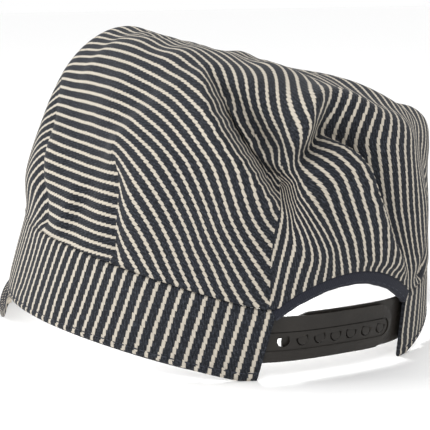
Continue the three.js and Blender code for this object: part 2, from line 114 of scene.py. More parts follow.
def smooth(x):
    """A soft step from 0 at 0 to 1 at 1."""
    x = np.clip(x, 0.0, 1.0)
    return x * x * (3 - 2 * x)


def hem_height(azimuth):
    """The hem rises over the visor and lies flat at the back."""
    turn = (1 - np.cos(np.radians(azimuth))) / 2
    turn_at_end = (1 - math.cos(math.radians(FLAT_FROM))) / 2
    return np.maximum(0.0, HEM_RISE * (1 - (turn / turn_at_end) ** HEM_RISE_POWER))


def hem_point(azimuth):
    a = np.radians(azimuth)
    return np.stack([HEM_HALF_WIDTH * np.sin(a), -HEM_HALF_LENGTH * np.cos(a),
                     hem_height(azimuth)], axis=-1)


def seam_point(azimuth):
    """The seam between the band and the crown."""
    a = np.radians(azimuth)
    front = HEM_HALF_LENGTH - BAND_FRONT_LEAN
    back = HEM_HALF_LENGTH + BAND_BACK_LEAN
    z = hem_height(azimuth) + BAND_HEIGHT + BAND_FRONT_EXTRA * np.cos(a)
    return np.stack([(HEM_HALF_WIDTH - BAND_SIDE_LEAN) * np.sin(a),
                     (back - front) / 2 - (back + front) / 2 * np.cos(a), z], axis=-1)


def crown_edge(azimuth):
    """The crown's lower edge: the seam, lifted into an arch over the back opening."""
    edge = seam_point(azimuth)
    across = np.clip((np.asarray(azimuth) - 180.0) / OPENING_HALF_ANGLE, -1, 1)
    edge[..., 2] += ARCH_RISE * np.maximum(0, np.cos(np.radians(90 * across))) ** ARCH_POWER
    return edge


def to_frame(points):
    """Millimetres of the cap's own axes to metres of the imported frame."""
    moved = np.array(points, dtype=float) * MM
    moved[..., 1] += shift_y
    return moved


print("band round", round(float(np.sum(np.linalg.norm(np.diff(hem_point(
    np.linspace(0, 360, 721)), axis=0), axis=1)))), "mm")

# %% [markdown]
# ## The crown's smooth form
# The crown rises steeply from the band, turns over a soft shoulder and lies nearly flat on top,
# slumped towards the wearer's right. It could be sculpted by hand, but three closed curves and a
# soft ramp between them give the same form and keep it tied to the band. A girth share runs
# from 0 at the band to 1 in the middle of the top.

# %% Smooth crown
CROWN_HEIGHT = 117.0
SHOULDER_HEIGHT = 125.5
SHOULDER_INSET_SIDE = 20.0
SHOULDER_INSET_FRONT = 12.0
SHOULDER_LIFT_FRONT = 7.3
SHOULDER_LIFT_LEFT = 15.6
CROWN_SLUMP_RIGHT = 9.5
CROWN_SLUMP_BACK = 13.5
CROWN_TOP_BACK_SHIFT = -2.0
SHOULDER_SOFTNESS = 0.32
WALL_SHARE = 0.57
TURN_STEP = 0.5
GIRTH_STEP = 0.01
LOW_LIMIT, MIDDLE_LIMIT, HIGH_LIMIT = 0.96, 0.97, 0.985


def soft_ramp(x):
    """Rises from 0 to 1 with a soft bend at 0."""
    def soft(t):
        return (t + np.sqrt(t * t + SHOULDER_SOFTNESS ** 2)) / 2
    return (soft(x) - soft(-1.0)) / (soft(1.0) - soft(-1.0))


def crown_base(azimuth, girth):
    """A point of the smooth crown."""
    a = np.radians(azimuth)
    half_width = HEM_HALF_WIDTH - BAND_SIDE_LEAN - SHOULDER_INSET_SIDE
    half_length = HEM_HALF_LENGTH + (BAND_BACK_LEAN - BAND_FRONT_LEAN) / 2 - SHOULDER_INSET_FRONT
    shoulder = np.stack([
        half_width * np.sin(a) - CROWN_SLUMP_RIGHT,
        (BAND_BACK_LEAN + BAND_FRONT_LEAN) / 2 + CROWN_SLUMP_BACK - half_length * np.cos(a),
        SHOULDER_HEIGHT + SHOULDER_LIFT_FRONT * np.cos(a) + SHOULDER_LIFT_LEFT * np.sin(a),
    ], axis=-1)
    middle = np.array([-CROWN_SLUMP_RIGHT, CROWN_TOP_BACK_SHIFT, CROWN_HEIGHT])
    outward = 1 - soft_ramp((girth - WALL_SHARE) / (1 - WALL_SHARE))
    downward = soft_ramp((WALL_SHARE - girth) / WALL_SHARE)
    downward = downward * smooth((1 - girth) / (1 - WALL_SHARE))
    edge = crown_edge(azimuth)
    return (middle + (shoulder - middle) * outward[..., None]
            + (edge - shoulder) * downward[..., None])


def unit(vectors):
    return vectors / np.linalg.norm(vectors, axis=-1, keepdims=True)


def crown_directions(azimuth, girth):
    """Unit vectors at points of the crown: outward, and along the cloth to a larger azimuth."""
    # The middle of the top has no direction of its own, so the girth stops short of it.
    g = np.clip(girth, 0.0, MIDDLE_LIMIT)
    around = crown_base(azimuth + TURN_STEP, g) - crown_base(azimuth - TURN_STEP, g)
    low = np.clip(girth - GIRTH_STEP, 0.0, LOW_LIMIT)
    high = np.clip(girth + GIRTH_STEP, 0.0, HIGH_LIMIT)
    upward = crown_base(azimuth, high) - crown_base(azimuth, low)
    return unit(np.cross(around, upward)), unit(around)


middle_point = crown_base(np.array([0.0]), np.array([1.0]))[0]
print("middle of the top", middle_point.round(1), "mm")

# %% [markdown]
# ## Darts and the grid of the crown
# Eight darts gather the round of cloth into the band, and the stripes change direction at each.
# The mesh could have evenly spaced columns, but then a dart would cut across its faces. Here
# every dart is a column of the mesh, so the stripes can break cleanly on it.

# %% Dart lines and grid
# foot, half and tip are azimuths of a dart at the band, halfway up and at its tip. rise is the
# girth share of the tip.
DARTS = [
    {"foot": 24, "half": 23, "tip": 22, "rise": 0.36},
    {"foot": 86, "half": 74, "tip": 60, "rise": 0.40},
    {"foot": 114, "half": 111.5, "tip": 107, "rise": 0.27},
    {"foot": 156, "half": 153.5, "tip": 152.5, "rise": 0.34},
    {"foot": 211, "half": 215, "tip": 220, "rise": 0.36},
    {"foot": 248, "half": 250, "tip": 251, "rise": 0.32},
    {"foot": 292, "half": 293, "tip": 294, "rise": 0.36},
    {"foot": 337, "half": 337, "tip": 338, "rise": 0.36},
]
PANEL_COLUMNS = 48
CROWN_ROWS = 118
COARSE = 3


def dart_azimuth(dart, girth):
    """Where a dart lies at a girth share: a curve through its foot, half and tip."""
    t = np.clip(girth / dart["rise"], 0, 1)
    bend = 4 * dart["half"] - 2 * dart["foot"] - 2 * dart["tip"]
    return dart["foot"] + (dart["tip"] - dart["foot"]) * t + bend * t * (1 - t)


row_girth = np.linspace(0, 1, CROWN_ROWS + 1)[:-1]
dart_lines = [dart_azimuth(dart, row_girth) for dart in DARTS]
columns = []
for index in range(len(DARTS)):
    start = dart_lines[index]
    end = dart_lines[(index + 1) % len(DARTS)] + (360 if index == len(DARTS) - 1 else 0)
    for step in range(PANEL_COLUMNS):
        columns.append(start + (end - start) * step / PANEL_COLUMNS)
grid_azimuth = np.stack(columns, axis=1)
grid_girth = np.repeat(row_girth[:, None], grid_azimuth.shape[1], axis=1)
print("crown grid", grid_azimuth.shape)

# %% [markdown]
# ## Folds
# The slack cloth at the back falls into sheets that step down from left to right, and each left
# sheet laps over the next. A cloth simulation would make folds, but not these folds in these
# places. So each fold is a line with a swelling before it, a steep fall behind it and a valley
# that levels out. The lines are read off the photo, and guessed on the far right side.

# %% Fold table and fold shape
# route rows: azimuth, girth share, crest rise and valley depth in millimetres, from the top
# down. swell, fall and level are widths in millimetres: of the swelling before the line, of the
# fall behind it and of the valley. lap is how far the crest leans over the valley.
FOLDS = [
    {"name": "left back tuck", "swell": 24, "fall": 6, "level": 9, "lap": 5.5, "route": [
        (122, 0.57, 0, 0), (126.5, 0.49, 5, 8), (130.5, 0.418, 10, 16), (134.5, 0.37, 13, 20),
        (138.5, 0.338, 13, 20), (142, 0.312, 12, 18), (146.5, 0.276, 9, 13),
        (151.5, 0.24, 5, 6), (156, 0.19, 0, 0)]},
    {"name": "left back lip", "swell": 5, "fall": 4, "level": 14, "lap": -3.0, "route": [
        (131, 0.51, 0, 0), (133.5, 0.475, 6, 1), (136.5, 0.447, 12, 3), (140, 0.412, 14, 5),
        (144.5, 0.366, 13, 5), (148, 0.345, 9, 4), (152, 0.335, 4.0, 1), (157, 0.33, 0, 0)]},
    {"name": "back left drape", "swell": 14, "fall": 5.5, "level": 13, "lap": 4.0, "route": [
        (169, 0.61, 0, 0), (164, 0.544, 4, 4), (161, 0.508, 7.5, 8), (158.6, 0.474, 10, 12),
        (157.2, 0.442, 10.5, 14), (154.8, 0.40, 8.5, 11), (153.4, 0.366, 5, 6),
        (153, 0.30, 0, 0)]},
    {"name": "back right drape", "swell": 18, "fall": 6, "level": 13, "lap": 4.0, "route": [
        (160, 0.44, 0, 0), (164.5, 0.408, 5, 7), (169, 0.378, 8, 12), (172.5, 0.346, 10, 13),
        (176, 0.30, 10, 12), (179.5, 0.238, 9, 12), (183, 0.176, 8, 10), (187.5, 0.108, 6, 7),
        (193, 0.06, 4, 4), (199, 0.01, 0.5, 0.5)]},
    {"name": "back roll", "swell": 20, "fall": 22, "level": 16, "lap": 0.0, "route": [
        (158, 0.57, 0, 0), (166, 0.53, 2, 1.5), (177, 0.51, 4, 2.5), (187, 0.48, 4, 2.5),
        (200, 0.465, 2.5, 1.5), (215, 0.44, 0, 0)]},
    {"name": "low back valley", "swell": 9, "fall": 12, "level": 12, "lap": 0.0, "route": [
        (154, 0.31, 0, 0), (156.4, 0.26, 2.5, 3), (160, 0.194, 3, 3.5), (164, 0.146, 2.5, 3),
        (168, 0.088, 1.5, 1.5), (171, 0.05, 0, 0)]},
    {"name": "front left ridge", "swell": 14, "fall": 22, "level": 12, "lap": 0.0, "route": [
        (46, 0.70, 0, 0), (49, 0.66, 2.5, 0.5), (57, 0.55, 4.0, 1), (57, 0.41, 5.0, 1),
        (60, 0.327, 5.0, 1.5), (66, 0.25, 5.0, 2), (75, 0.185, 4.5, 2.5), (88, 0.135, 2.5, 2),
        (84, 0.02, 0.5, 0.5)]},
    {"name": "left side pleat", "swell": 5, "fall": 5, "level": 8, "lap": 0.0, "route": [
        (99, 0.19, 0, 0), (95.5, 0.14, 1.8, 1.5), (94.5, 0.083, 2.0, 1.8), (92.5, 0.0, 1.5, 1)]},
    {"name": "left shoulder ridge", "swell": 14, "fall": 10, "level": 12, "lap": 0.0, "route": [
        (107, 0.20, 0, 0), (106.5, 0.27, 2.5, 1.5), (112, 0.35, 3.0, 0.5), (118, 0.447, 2.0, 0),
        (123.5, 0.54, 0, 0)]},
    {"name": "front right ridge", "swell": 18, "fall": 20, "level": 12, "lap": 0.0, "route": [
        (313, 0.66, 0, 0), (306, 0.50, 3.5, 1), (301, 0.36, 4.0, 1), (295, 0.2, 3.0, 1),
        (290, 0.05, 0, 0)]},
    {"name": "right side tuck", "swell": 18, "fall": 8, "level": 14, "lap": 2.0, "route": [
        (232, 0.58, 0, 0), (236, 0.53, 2.5, 2), (240, 0.46, 5.0, 4.5), (245, 0.37, 5.5, 5),
        (251, 0.29, 4.0, 3.5), (262, 0.17, 0, 0)]},
    {"name": "right shoulder crease", "swell": 18, "fall": 11, "level": 16, "lap": 0.0, "route": [
        (259, 0.62, 0, 0), (268, 0.53, 3.0, 2.5), (275, 0.42, 3.5, 3), (280, 0.3, 2.0, 2),
        (284, 0.2, 0, 0)]},
]
UNROLL_RADIUS = (HEM_HALF_WIDTH + HEM_HALF_LENGTH) / 2 - BAND_SIDE_LEAN
UNROLL_GIRTH = (SHOULDER_HEIGHT - BAND_HEIGHT - HEM_RISE + HEM_HALF_WIDTH
                - SHOULDER_INSET_SIDE)
FOLD_POWER = 1.5
LEAN_SPREAD = 0.5


def fold_shape(fold, azimuth, girth):
    """Height over the smooth form, and lean towards a larger azimuth, both in millimetres."""
    x = np.radians(azimuth) * UNROLL_RADIUS
    y = girth * UNROLL_GIRTH
    best = np.full(x.shape, 1e9)
    signed = np.zeros(x.shape)
    crest = np.zeros(x.shape)
    valley = np.zeros(x.shape)
    rows = fold["route"]
    for (a0, g0, c0, v0), (a1, g1, c1, v1) in zip(rows[:-1], rows[1:]):
        x0, y0 = math.radians(a0) * UNROLL_RADIUS, g0 * UNROLL_GIRTH
        dx = math.radians(a1) * UNROLL_RADIUS - x0
        dy = g1 * UNROLL_GIRTH - y0
        share = np.clip(((x - x0) * dx + (y - y0) * dy) / (dx * dx + dy * dy), 0, 1)
        distance = np.hypot(x - x0 - dx * share, y - y0 - dy * share)
        side = np.sign((y - y0) * dx - (x - x0) * dy)
        nearer = distance < best
        best = np.where(nearer, distance, best)
        signed = np.where(nearer, distance * side, signed)
        crest = np.where(nearer, c0 + (c1 - c0) * share, crest)
        valley = np.where(nearer, v0 + (v1 - v0) * share, valley)
    before = crest * np.exp(-np.abs(np.minimum(signed, 0) / fold["swell"]) ** FOLD_POWER)
    falling = crest - (crest + valley) * smooth(signed / fold["fall"])
    behind = np.maximum(signed - fold["fall"], 0) / fold["level"]
    resting = -valley * np.exp(-behind ** FOLD_POWER)
    height = np.where(signed < 0, before, np.where(signed < fold["fall"], falling, resting))
    spread = np.where(signed < 0, fold["swell"] * LEAN_SPREAD, fold["fall"])
    strength = crest / max(1.0, max(row[2] for row in rows))
    lean = fold["lap"] * strength * np.exp(-(np.abs(signed) / spread) ** 2)
    return height, lean


print("folds:", ", ".join(fold["name"] for fold in FOLDS))

# %% [markdown]
# Between the folds the cloth isn't smooth either. Each dart pulls a groove, the panels between
# them puff out, and the front swells over the band.

# %% Crown surface
DART_DEPTH = 3.0
DART_WIDTH = 4.5
DART_FADE = 0.4
DART_POWER = 1.3
PANEL_PUFF = 3.0
PANEL_PUFF_START, PANEL_PUFF_TOP, PANEL_PUFF_FADE = 0.12, 0.55, 0.3
FRONT_PUFF = 6.0
FRONT_PUFF_GIRTH = 0.13
FRONT_PUFF_WIDTH = 0.12
FRONT_PUFF_START = 0.05
FRONT_POWER = 1.5
RIPPLE = 0.5
RIPPLE_START = 0.1
# Waves round the crown, waves up it (in radians over the girth), phase and share of each ripple.
RIPPLES = [(7, 9, 0, 1), (11, -15, 1.3, 1), (4, 22, 0.4, 1), (17, 6, 2.0, 0.6)]
CALM_FROM = 0.9
CALM_WIDTH = 0.2
LIFT_WIDTH = 0.03


def dart_grooves(azimuth, girth):
    """The groove that each dart pulls into the cloth."""
    total = np.zeros(azimuth.shape)
    for dart in DARTS:
        off = np.radians(azimuth - dart_azimuth(dart, girth)) * UNROLL_RADIUS / DART_WIDTH
        fade = smooth((dart["rise"] - girth) / (dart["rise"] * DART_FADE))
        total -= DART_DEPTH * fade * np.exp(-np.abs(off) ** DART_POWER)
    return total


def fullness(azimuth, girth):
    """How far the panels between the darts and the front puff out."""
    between = np.sin(np.radians(azimuth * 4)) ** 2
    panel = PANEL_PUFF * between * smooth(girth / PANEL_PUFF_START)
    panel = panel * smooth((PANEL_PUFF_TOP - girth) / PANEL_PUFF_FADE)
    facing = np.maximum(0, np.cos(np.radians(azimuth))) ** FRONT_POWER
    height = np.exp(-((girth - FRONT_PUFF_GIRTH) / FRONT_PUFF_WIDTH) ** 2)
    return panel + FRONT_PUFF * facing * height * smooth(girth / FRONT_PUFF_START)


def ripples(azimuth, girth):
    """Slight unevenness of washed cloth."""
    a = np.radians(azimuth)
    wave = sum(share * np.sin(around * a + up * girth + phase)
               for around, up, phase, share in RIPPLES)
    return RIPPLE * wave * smooth(girth / RIPPLE_START)


def blur(field, passes):
    """Evens out a grid that closes on itself from side to side."""
    for _ in range(passes):
        field = (np.roll(field, 1, axis=1) + 2 * field + np.roll(field, -1, axis=1)) / 4
        padded = np.concatenate([field[:1], field, field[-1:]], axis=0)
        field = (padded[:-2] + 2 * padded[1:-1] + padded[2:]) / 4
    return field


def crown_grid(azimuth, girth, evenness=2):
    """Points of the outer skin. A larger evenness rounds the folds off more."""
    height = np.zeros(azimuth.shape)
    lean = np.zeros(azimuth.shape)
    turn = np.mod(azimuth, 360)
    for fold in FOLDS:
        fold_height, fold_lean = fold_shape(fold, turn, girth)
        height += fold_height
        lean += fold_lean
    height += fullness(turn, girth) + ripples(turn, girth)
    calm = smooth((CALM_FROM - girth) / CALM_WIDTH)
    lift = smooth(girth / LIFT_WIDTH)
    height = blur(height * calm * lift, evenness)
    lean = blur(lean * calm * lift, evenness)
    height = height + dart_grooves(turn, girth) * lift
    outward, along = crown_directions(turn, girth)
    points = crown_base(turn, girth) + outward * height[..., None] + along * lean[..., None]
    points[..., 2] += SEAM_GAP
    return points, outward


outer, outer_normal = crown_grid(grid_azimuth, grid_girth)
print("crown spans", np.round(outer.reshape(-1, 3).min(0)), np.round(outer.reshape(-1, 3).max(0)))

# %% [markdown]
# ## Laying the stripes on the crown
# Hickory stripes run straight through the flat cloth, from the front to the back of the crown.
# Painting them by direction in space would break that on every fold. Instead a coarse copy of
# the crown is cut open along its darts and flattened, as the tailor's pattern was, and each
# point of the cap takes its place in the flat cloth from that.

# %% Flatten a coarse copy


def mesh_object(name, points, faces):
    """A new object of the scene, from its points and faces."""
    mesh = bpy.data.meshes.new(name)
    mesh.from_pydata([tuple(p) for p in points], [], [tuple(f) for f in faces])
    mesh.update()
    piece = bpy.data.objects.new(name, mesh)
    bpy.context.scene.collection.objects.link(piece)
    return piece


def grid_faces(rows, cols, closed, start=0):
    """Quads between neighbouring rows of a grid of points."""
    row = np.arange(rows - 1)[:, None]
    col = np.arange(cols if closed else cols - 1)[None, :]
    nxt = (col + 1) % cols
    low = start + row * cols
    quads = np.stack([low + col, low + nxt, low + cols + nxt, low + cols + col], axis=-1)
    return quads.reshape(-1, 4)


def corner_vertices(piece):
    """The vertex at every face corner."""
    corner = np.zeros(len(piece.data.loops), dtype=int)
    piece.data.loops.foreach_get("vertex_index", corner)
    return corner


# The copy's folds are rounded off a little, or the stripes would waver along them.
EVENNESS = 4
SEAM_PAST_TIP = 0.01
coarse = crown_grid(grid_azimuth, grid_girth, evenness=EVENNESS)[0][::COARSE, ::COARSE]
coarse_rows, coarse_cols = coarse.shape[:2]
coarse_girth = row_girth[::COARSE]
panel_cols = PANEL_COLUMNS // COARSE
pole = coarse_rows * coarse_cols
faces = grid_faces(coarse_rows, coarse_cols, True).tolist()
last = (coarse_rows - 1) * coarse_cols
faces += [[last + c, last + (c + 1) % coarse_cols, pole] for c in range(coarse_cols)]
pattern = mesh_object("pattern", np.vstack([coarse.reshape(-1, 3), middle_point]), faces)
seams = set()
for index, dart in enumerate(DARTS):
    column = index * panel_cols
    for row in range(coarse_rows - 1):
        if coarse_girth[row + 1] <= dart["rise"] + SEAM_PAST_TIP:
            seams.add((row * coarse_cols + column, (row + 1) * coarse_cols + column))
for edge in pattern.data.edges:
    edge.use_seam = tuple(sorted(edge.vertices)) in seams
pattern.data.uv_layers.new(name="flat")
bpy.ops.object.select_all(action="DESELECT")
bpy.context.view_layer.objects.active = pattern
pattern.select_set(True)
bpy.ops.object.mode_set(mode="EDIT")
bpy.ops.mesh.select_all(action="SELECT")
bpy.ops.uv.unwrap(method="ANGLE_BASED", fill_holes=False, margin=0.0)
bpy.ops.uv.unwrap(method="MINIMUM_STRETCH", fill_holes=False, iterations=40, margin=0.0)
bpy.ops.object.mode_set(mode="OBJECT")
flat_uv = np.zeros(len(pattern.data.loops) * 2)
pattern.data.uv_layers["flat"].data.foreach_get("uv", flat_uv)
flat_uv = flat_uv.reshape(-1, 2)
loop_vertex = corner_vertices(pattern)
print("flat pattern", flat_uv.min(0), flat_uv.max(0))

# %% [markdown]
# The flat pattern comes back in arbitrary units, turned any way. The best turn and scale are
# found from the middle of the top, where the cloth lies nearly flat already.

# %% Turn and scale the pattern
FLAT_TOP_GIRTH = 0.72
top_rows = coarse_girth > FLAT_TOP_GIRTH
wanted = np.full((pole + 1, 2), np.nan)
top_index = np.arange(pole).reshape(coarse_rows, coarse_cols)[top_rows].ravel()
wanted[top_index] = (coarse.reshape(-1, 3)[top_index] - middle_point)[:, :2]
wanted[pole] = 0
used = ~np.isnan(wanted[loop_vertex][:, 0])
source = flat_uv[used]
target = wanted[loop_vertex][used]
source_mid, target_mid = source.mean(0), target.mean(0)
u, s, vt = np.linalg.svd((source - source_mid).T @ (target - target_mid))
turn_matrix = u @ vt
scale = s.sum() / ((source - source_mid) ** 2).sum()
cloth_xy = (flat_uv - source_mid) @ turn_matrix * scale + target_mid
print("pattern scale", round(float(scale), 1), "mirror", round(float(np.linalg.det(turn_matrix))))

# %% [markdown]
# The coarse pattern goes to the fine grid panel by panel, because the cloth's place jumps at
# every dart. Straight lines between the coarse points would put kinks into the stripes, so a
# smooth curve runs through them.

# %% Carry the flat pattern to the fine grid


def finer(values, factor):
    """Smooth interpolation between the rows of an array, factor steps to each."""
    count = values.shape[0]
    at = np.linspace(0, count - 1, (count - 1) * factor + 1)
    i = np.minimum(at.astype(int), count - 2)
    t = (at - i)[:, None, None]
    before, here = values[np.maximum(i - 1, 0)], values[i]
    after, beyond = values[i + 1], values[np.minimum(i + 2, count - 1)]
    return 0.5 * (2 * here + (after - before) * t
                  + (2 * before - 5 * here + 4 * after - beyond) * t ** 2
                  + (3 * here - before - 3 * after + beyond) * t ** 3)


quad_count = (coarse_rows - 1) * coarse_cols
quad_xy = cloth_xy[:quad_count * 4].reshape(coarse_rows - 1, coarse_cols, 4, 2)
panel_cloth = []
for index in range(len(DARTS)):
    part = quad_xy[:, index * panel_cols:(index + 1) * panel_cols]
    values = np.zeros((coarse_rows, panel_cols + 1, 2))
    values[:-1, :-1] = part[:, :, 0]
    values[:-1, -1] = part[:, -1, 1]
    values[-1, :-1] = part[-1, :, 3]
    values[-1, -1] = part[-1, -1, 2]
    fine = finer(values, COARSE)
    fine = finer(fine.transpose(1, 0, 2), COARSE).transpose(1, 0, 2)
    panel_cloth.append(fine)
pole_cloth = cloth_xy[loop_vertex == pole].mean(0)
bpy.data.objects.remove(pattern)
print("panel grids", panel_cloth[0].shape)

# %% [markdown]
# The photo's stripes lean more at the back than the pattern's, as if wear and the strap had
# pulled the cloth. The pattern isn't cut again for that: its panels from the left back to the
# right are drawn sideways, by lengths that grow below the tips of the darts. In the back panel
# the cloth short of the gather line is drawn further, and the slant fades past the drape line.

# %% Draw the back panels sideways
LEFT_BACK_PANEL, BACK_PANEL, LAST_DRAWN_PANEL = 2, 3, 6
EASE_ACROSS = 15.0
EASE_FROM, EASE_GROWS = 118, 42
EASE_UNTIL, EASE_FADES = 205, 90
EASE_TOP, EASE_TOP_FADE = 0.45, 0.3
SLANT_ONSET = 6
LEFT_BACK_SLANT = 0.33
BACK_SLANT = 0.53
BACK_SLANT_FADE = 85
BACK_TIP_RISE, BACK_TIP_SHARE = 0.08, 0.25
GATHER = 30.0
GATHER_WIDTH = 16.0
GATHER_ONSET = 5
# The points of both lines are girth share and azimuth.
GATHER_LINE = [(0.00, 174), (0.05, 171), (0.15, 164), (0.26, 156.4), (0.34, 152.5)]
DRAPE_LINE = [(0.0, 199), (0.06, 193), (0.11, 187.5), (0.18, 183), (0.24, 179.5), (0.30, 176),
              (0.35, 172.5), (0.42, 164)]


def line_azimuth(line, girth):
    """Where a line lies at a girth share."""
    return np.interp(girth, [g for g, a in line], [a for g, a in line])


def eased(index, cloth):
    """The pattern of one panel after the wearer's pulling has leaned its stripes."""
    columns = np.arange(index * PANEL_COLUMNS, (index + 1) * PANEL_COLUMNS + 1)
    azimuth = grid_azimuth[:, columns % grid_azimuth.shape[1]]
    girth = grid_girth[:, columns % grid_azimuth.shape[1]]
    across = np.linspace(0, 1, PANEL_COLUMNS + 1)[None]
    left, right = DARTS[index], DARTS[(index + 1) % len(DARTS)]
    pull = EASE_ACROSS * smooth((azimuth - EASE_FROM) / EASE_GROWS) * (
        1 - smooth((azimuth - EASE_UNTIL) / EASE_FADES))
    pull = pull * (1 - smooth((girth - EASE_TOP) / EASE_TOP_FADE))
    tips = left["rise"] + (right["rise"] - left["rise"]) * across
    if index == BACK_PANEL:
        tips = left["rise"] + BACK_TIP_RISE * smooth(across / BACK_TIP_SHARE)
    below = np.maximum(0, tips - girth) * UNROLL_GIRTH
    below = below ** 2 / (below + SLANT_ONSET)
    if index == LEFT_BACK_PANEL:
        pull = pull + LEFT_BACK_SLANT * below
    if index == BACK_PANEL:
        past = np.radians(azimuth - line_azimuth(DRAPE_LINE, girth)) * UNROLL_RADIUS
        short = np.radians(azimuth - line_azimuth(GATHER_LINE, girth)) * UNROLL_RADIUS
        slant = BACK_SLANT * below * (1 - smooth(past / BACK_SLANT_FADE))
        gathered = (GATHER - BACK_SLANT * below) * smooth(below / GATHER_ONSET)
        pull = pull - slant - gathered * (1 - smooth(short / GATHER_WIDTH + 0.5))
    moved = cloth.copy()
    moved[..., 0] -= pull
    return moved


for index in range(LEFT_BACK_PANEL, LAST_DRAWN_PANEL + 1):
    panel_cloth[index] = eased(index, panel_cloth[index])
print("panels drawn sideways", LEFT_BACK_PANEL, "to", LAST_DRAWN_PANEL)

# %% [markdown]
# The pattern came from the evened copy, so a deep fold holds more cloth than it was given there,
# and its stripes would be stretched wide. Each short line between neighbouring grid points gets
# the length that the real fold has, and the points of a panel are let slide until most lines
# fit. The seams and the calm middle of the top stay where they are.

# %% Let the cloth slide into the folds
SLIDE_STEPS = 160
SLIDE_SHARE = 0.3
EVEN_EVERY = 8
LEAST_STRETCH, LONGEST_STRETCH = 0.8, 2.2
SHORTEST_LINE = 0.05
CALM_GIRTH = 0.8
NEIGHBOURS = [(0, 1), (1, 0), (1, 1), (1, -1)]


def pair_of(grid, down, across):
    """Two views of a grid, such that each point of one is the neighbour of the other's."""
    rows, cols = grid.shape[:2]
    if across < 0:
        return grid[:rows - down, 1:], grid[down:, :cols - 1]
    return grid[:rows - down, :cols - across], grid[down:, across:]


def evened(field):
    """Evens out a grid of moves a little, or the cloth would buckle in its own plane."""
    for axis in (0, 1):
        ends = [(1, 1) if a == axis else (0, 0) for a in range(3)]
        wide = np.pad(field, ends, mode="edge")
        wide = np.moveaxis(wide, axis, 0)
        field = np.moveaxis((wide[:-2] + 2 * wide[1:-1] + wide[2:]) / 4, 0, axis)
    return field


def slid(cloth, true_points, even_points):
    """The pattern of one panel after its points have slid to fit the true lengths."""
    goals = []
    for down, across in NEIGHBOURS:
        def length(grid):
            a, b = pair_of(grid, down, across)
            return np.linalg.norm(b - a, axis=-1)
        ratio = length(true_points) / np.maximum(length(even_points), SHORTEST_LINE)
        goals.append(length(cloth) * np.clip(ratio, LEAST_STRETCH, LONGEST_STRETCH))
    moving = np.ones(cloth.shape[:2] + (1,))
    moving[:, 0] = moving[:, -1] = 0
    moving[row_girth > CALM_GIRTH] = 0
    now = cloth.copy()
    for step in range(SLIDE_STEPS):
        push = np.zeros(now.shape)
        for (down, across), goal in zip(NEIGHBOURS, goals):
            a, b = pair_of(now, down, across)
            line = b - a
            size = np.maximum(np.linalg.norm(line, axis=-1), 1e-6)
            share = line * ((size - goal) / size * 0.5)[..., None]
            push_a, push_b = pair_of(push, down, across)
            push_a += share
            push_b -= share
        now += push * moving * SLIDE_SHARE
        if step % EVEN_EVERY == EVEN_EVERY - 1:
            now = cloth + evened(now - cloth) * moving
    return now


even, _ = crown_grid(grid_azimuth, grid_girth, evenness=EVENNESS)
for index in range(len(DARTS)):
    columns = np.arange(index * PANEL_COLUMNS, (index + 1) * PANEL_COLUMNS + 1) % outer.shape[1]
    before = panel_cloth[index]
    panel_cloth[index] = slid(before, outer[:, columns], even[:, columns])
    print("panel", index, "slid up to", round(float(np.abs(panel_cloth[index] - before).max()), 1))

# %% [markdown]
# ## The crown's mesh
# The outer skin carries the stripes. The inner skin lies one cloth thickness behind it, and the
# two meet in a narrow turned edge at the seam. The inner skin has fewer rows, because only its
# lower part is ever seen.

# %% Build the crown
INNER_ROWS = 29
CLOTH_MM = 1.4
CROWN_SHRINK = 1.073


def set_uv(mesh, corner_uv, name="cloth"):
    """Gives every face corner its place in the flat cloth, in metres."""
    layer = mesh.uv_layers.new(name=name)
    layer.data.foreach_set("uv", np.asarray(corner_uv, dtype=np.float32).ravel())


def smooth_faces(piece, sharp_degrees=None):
    """Shades a piece smooth, with edges above an angle left sharp."""
    piece.data.polygons.foreach_set("use_smooth", [True] * len(piece.data.polygons))
    if sharp_degrees is not None:
        piece.data.set_sharp_from_angle(angle=math.radians(sharp_degrees))
    piece.data.update()


def inward_ray(azimuth):
    """The level unit vector from a point of the cap to its middle line."""
    a = np.radians(azimuth)
    return np.stack([-np.sin(a), np.cos(a), 0 * a], axis=-1)


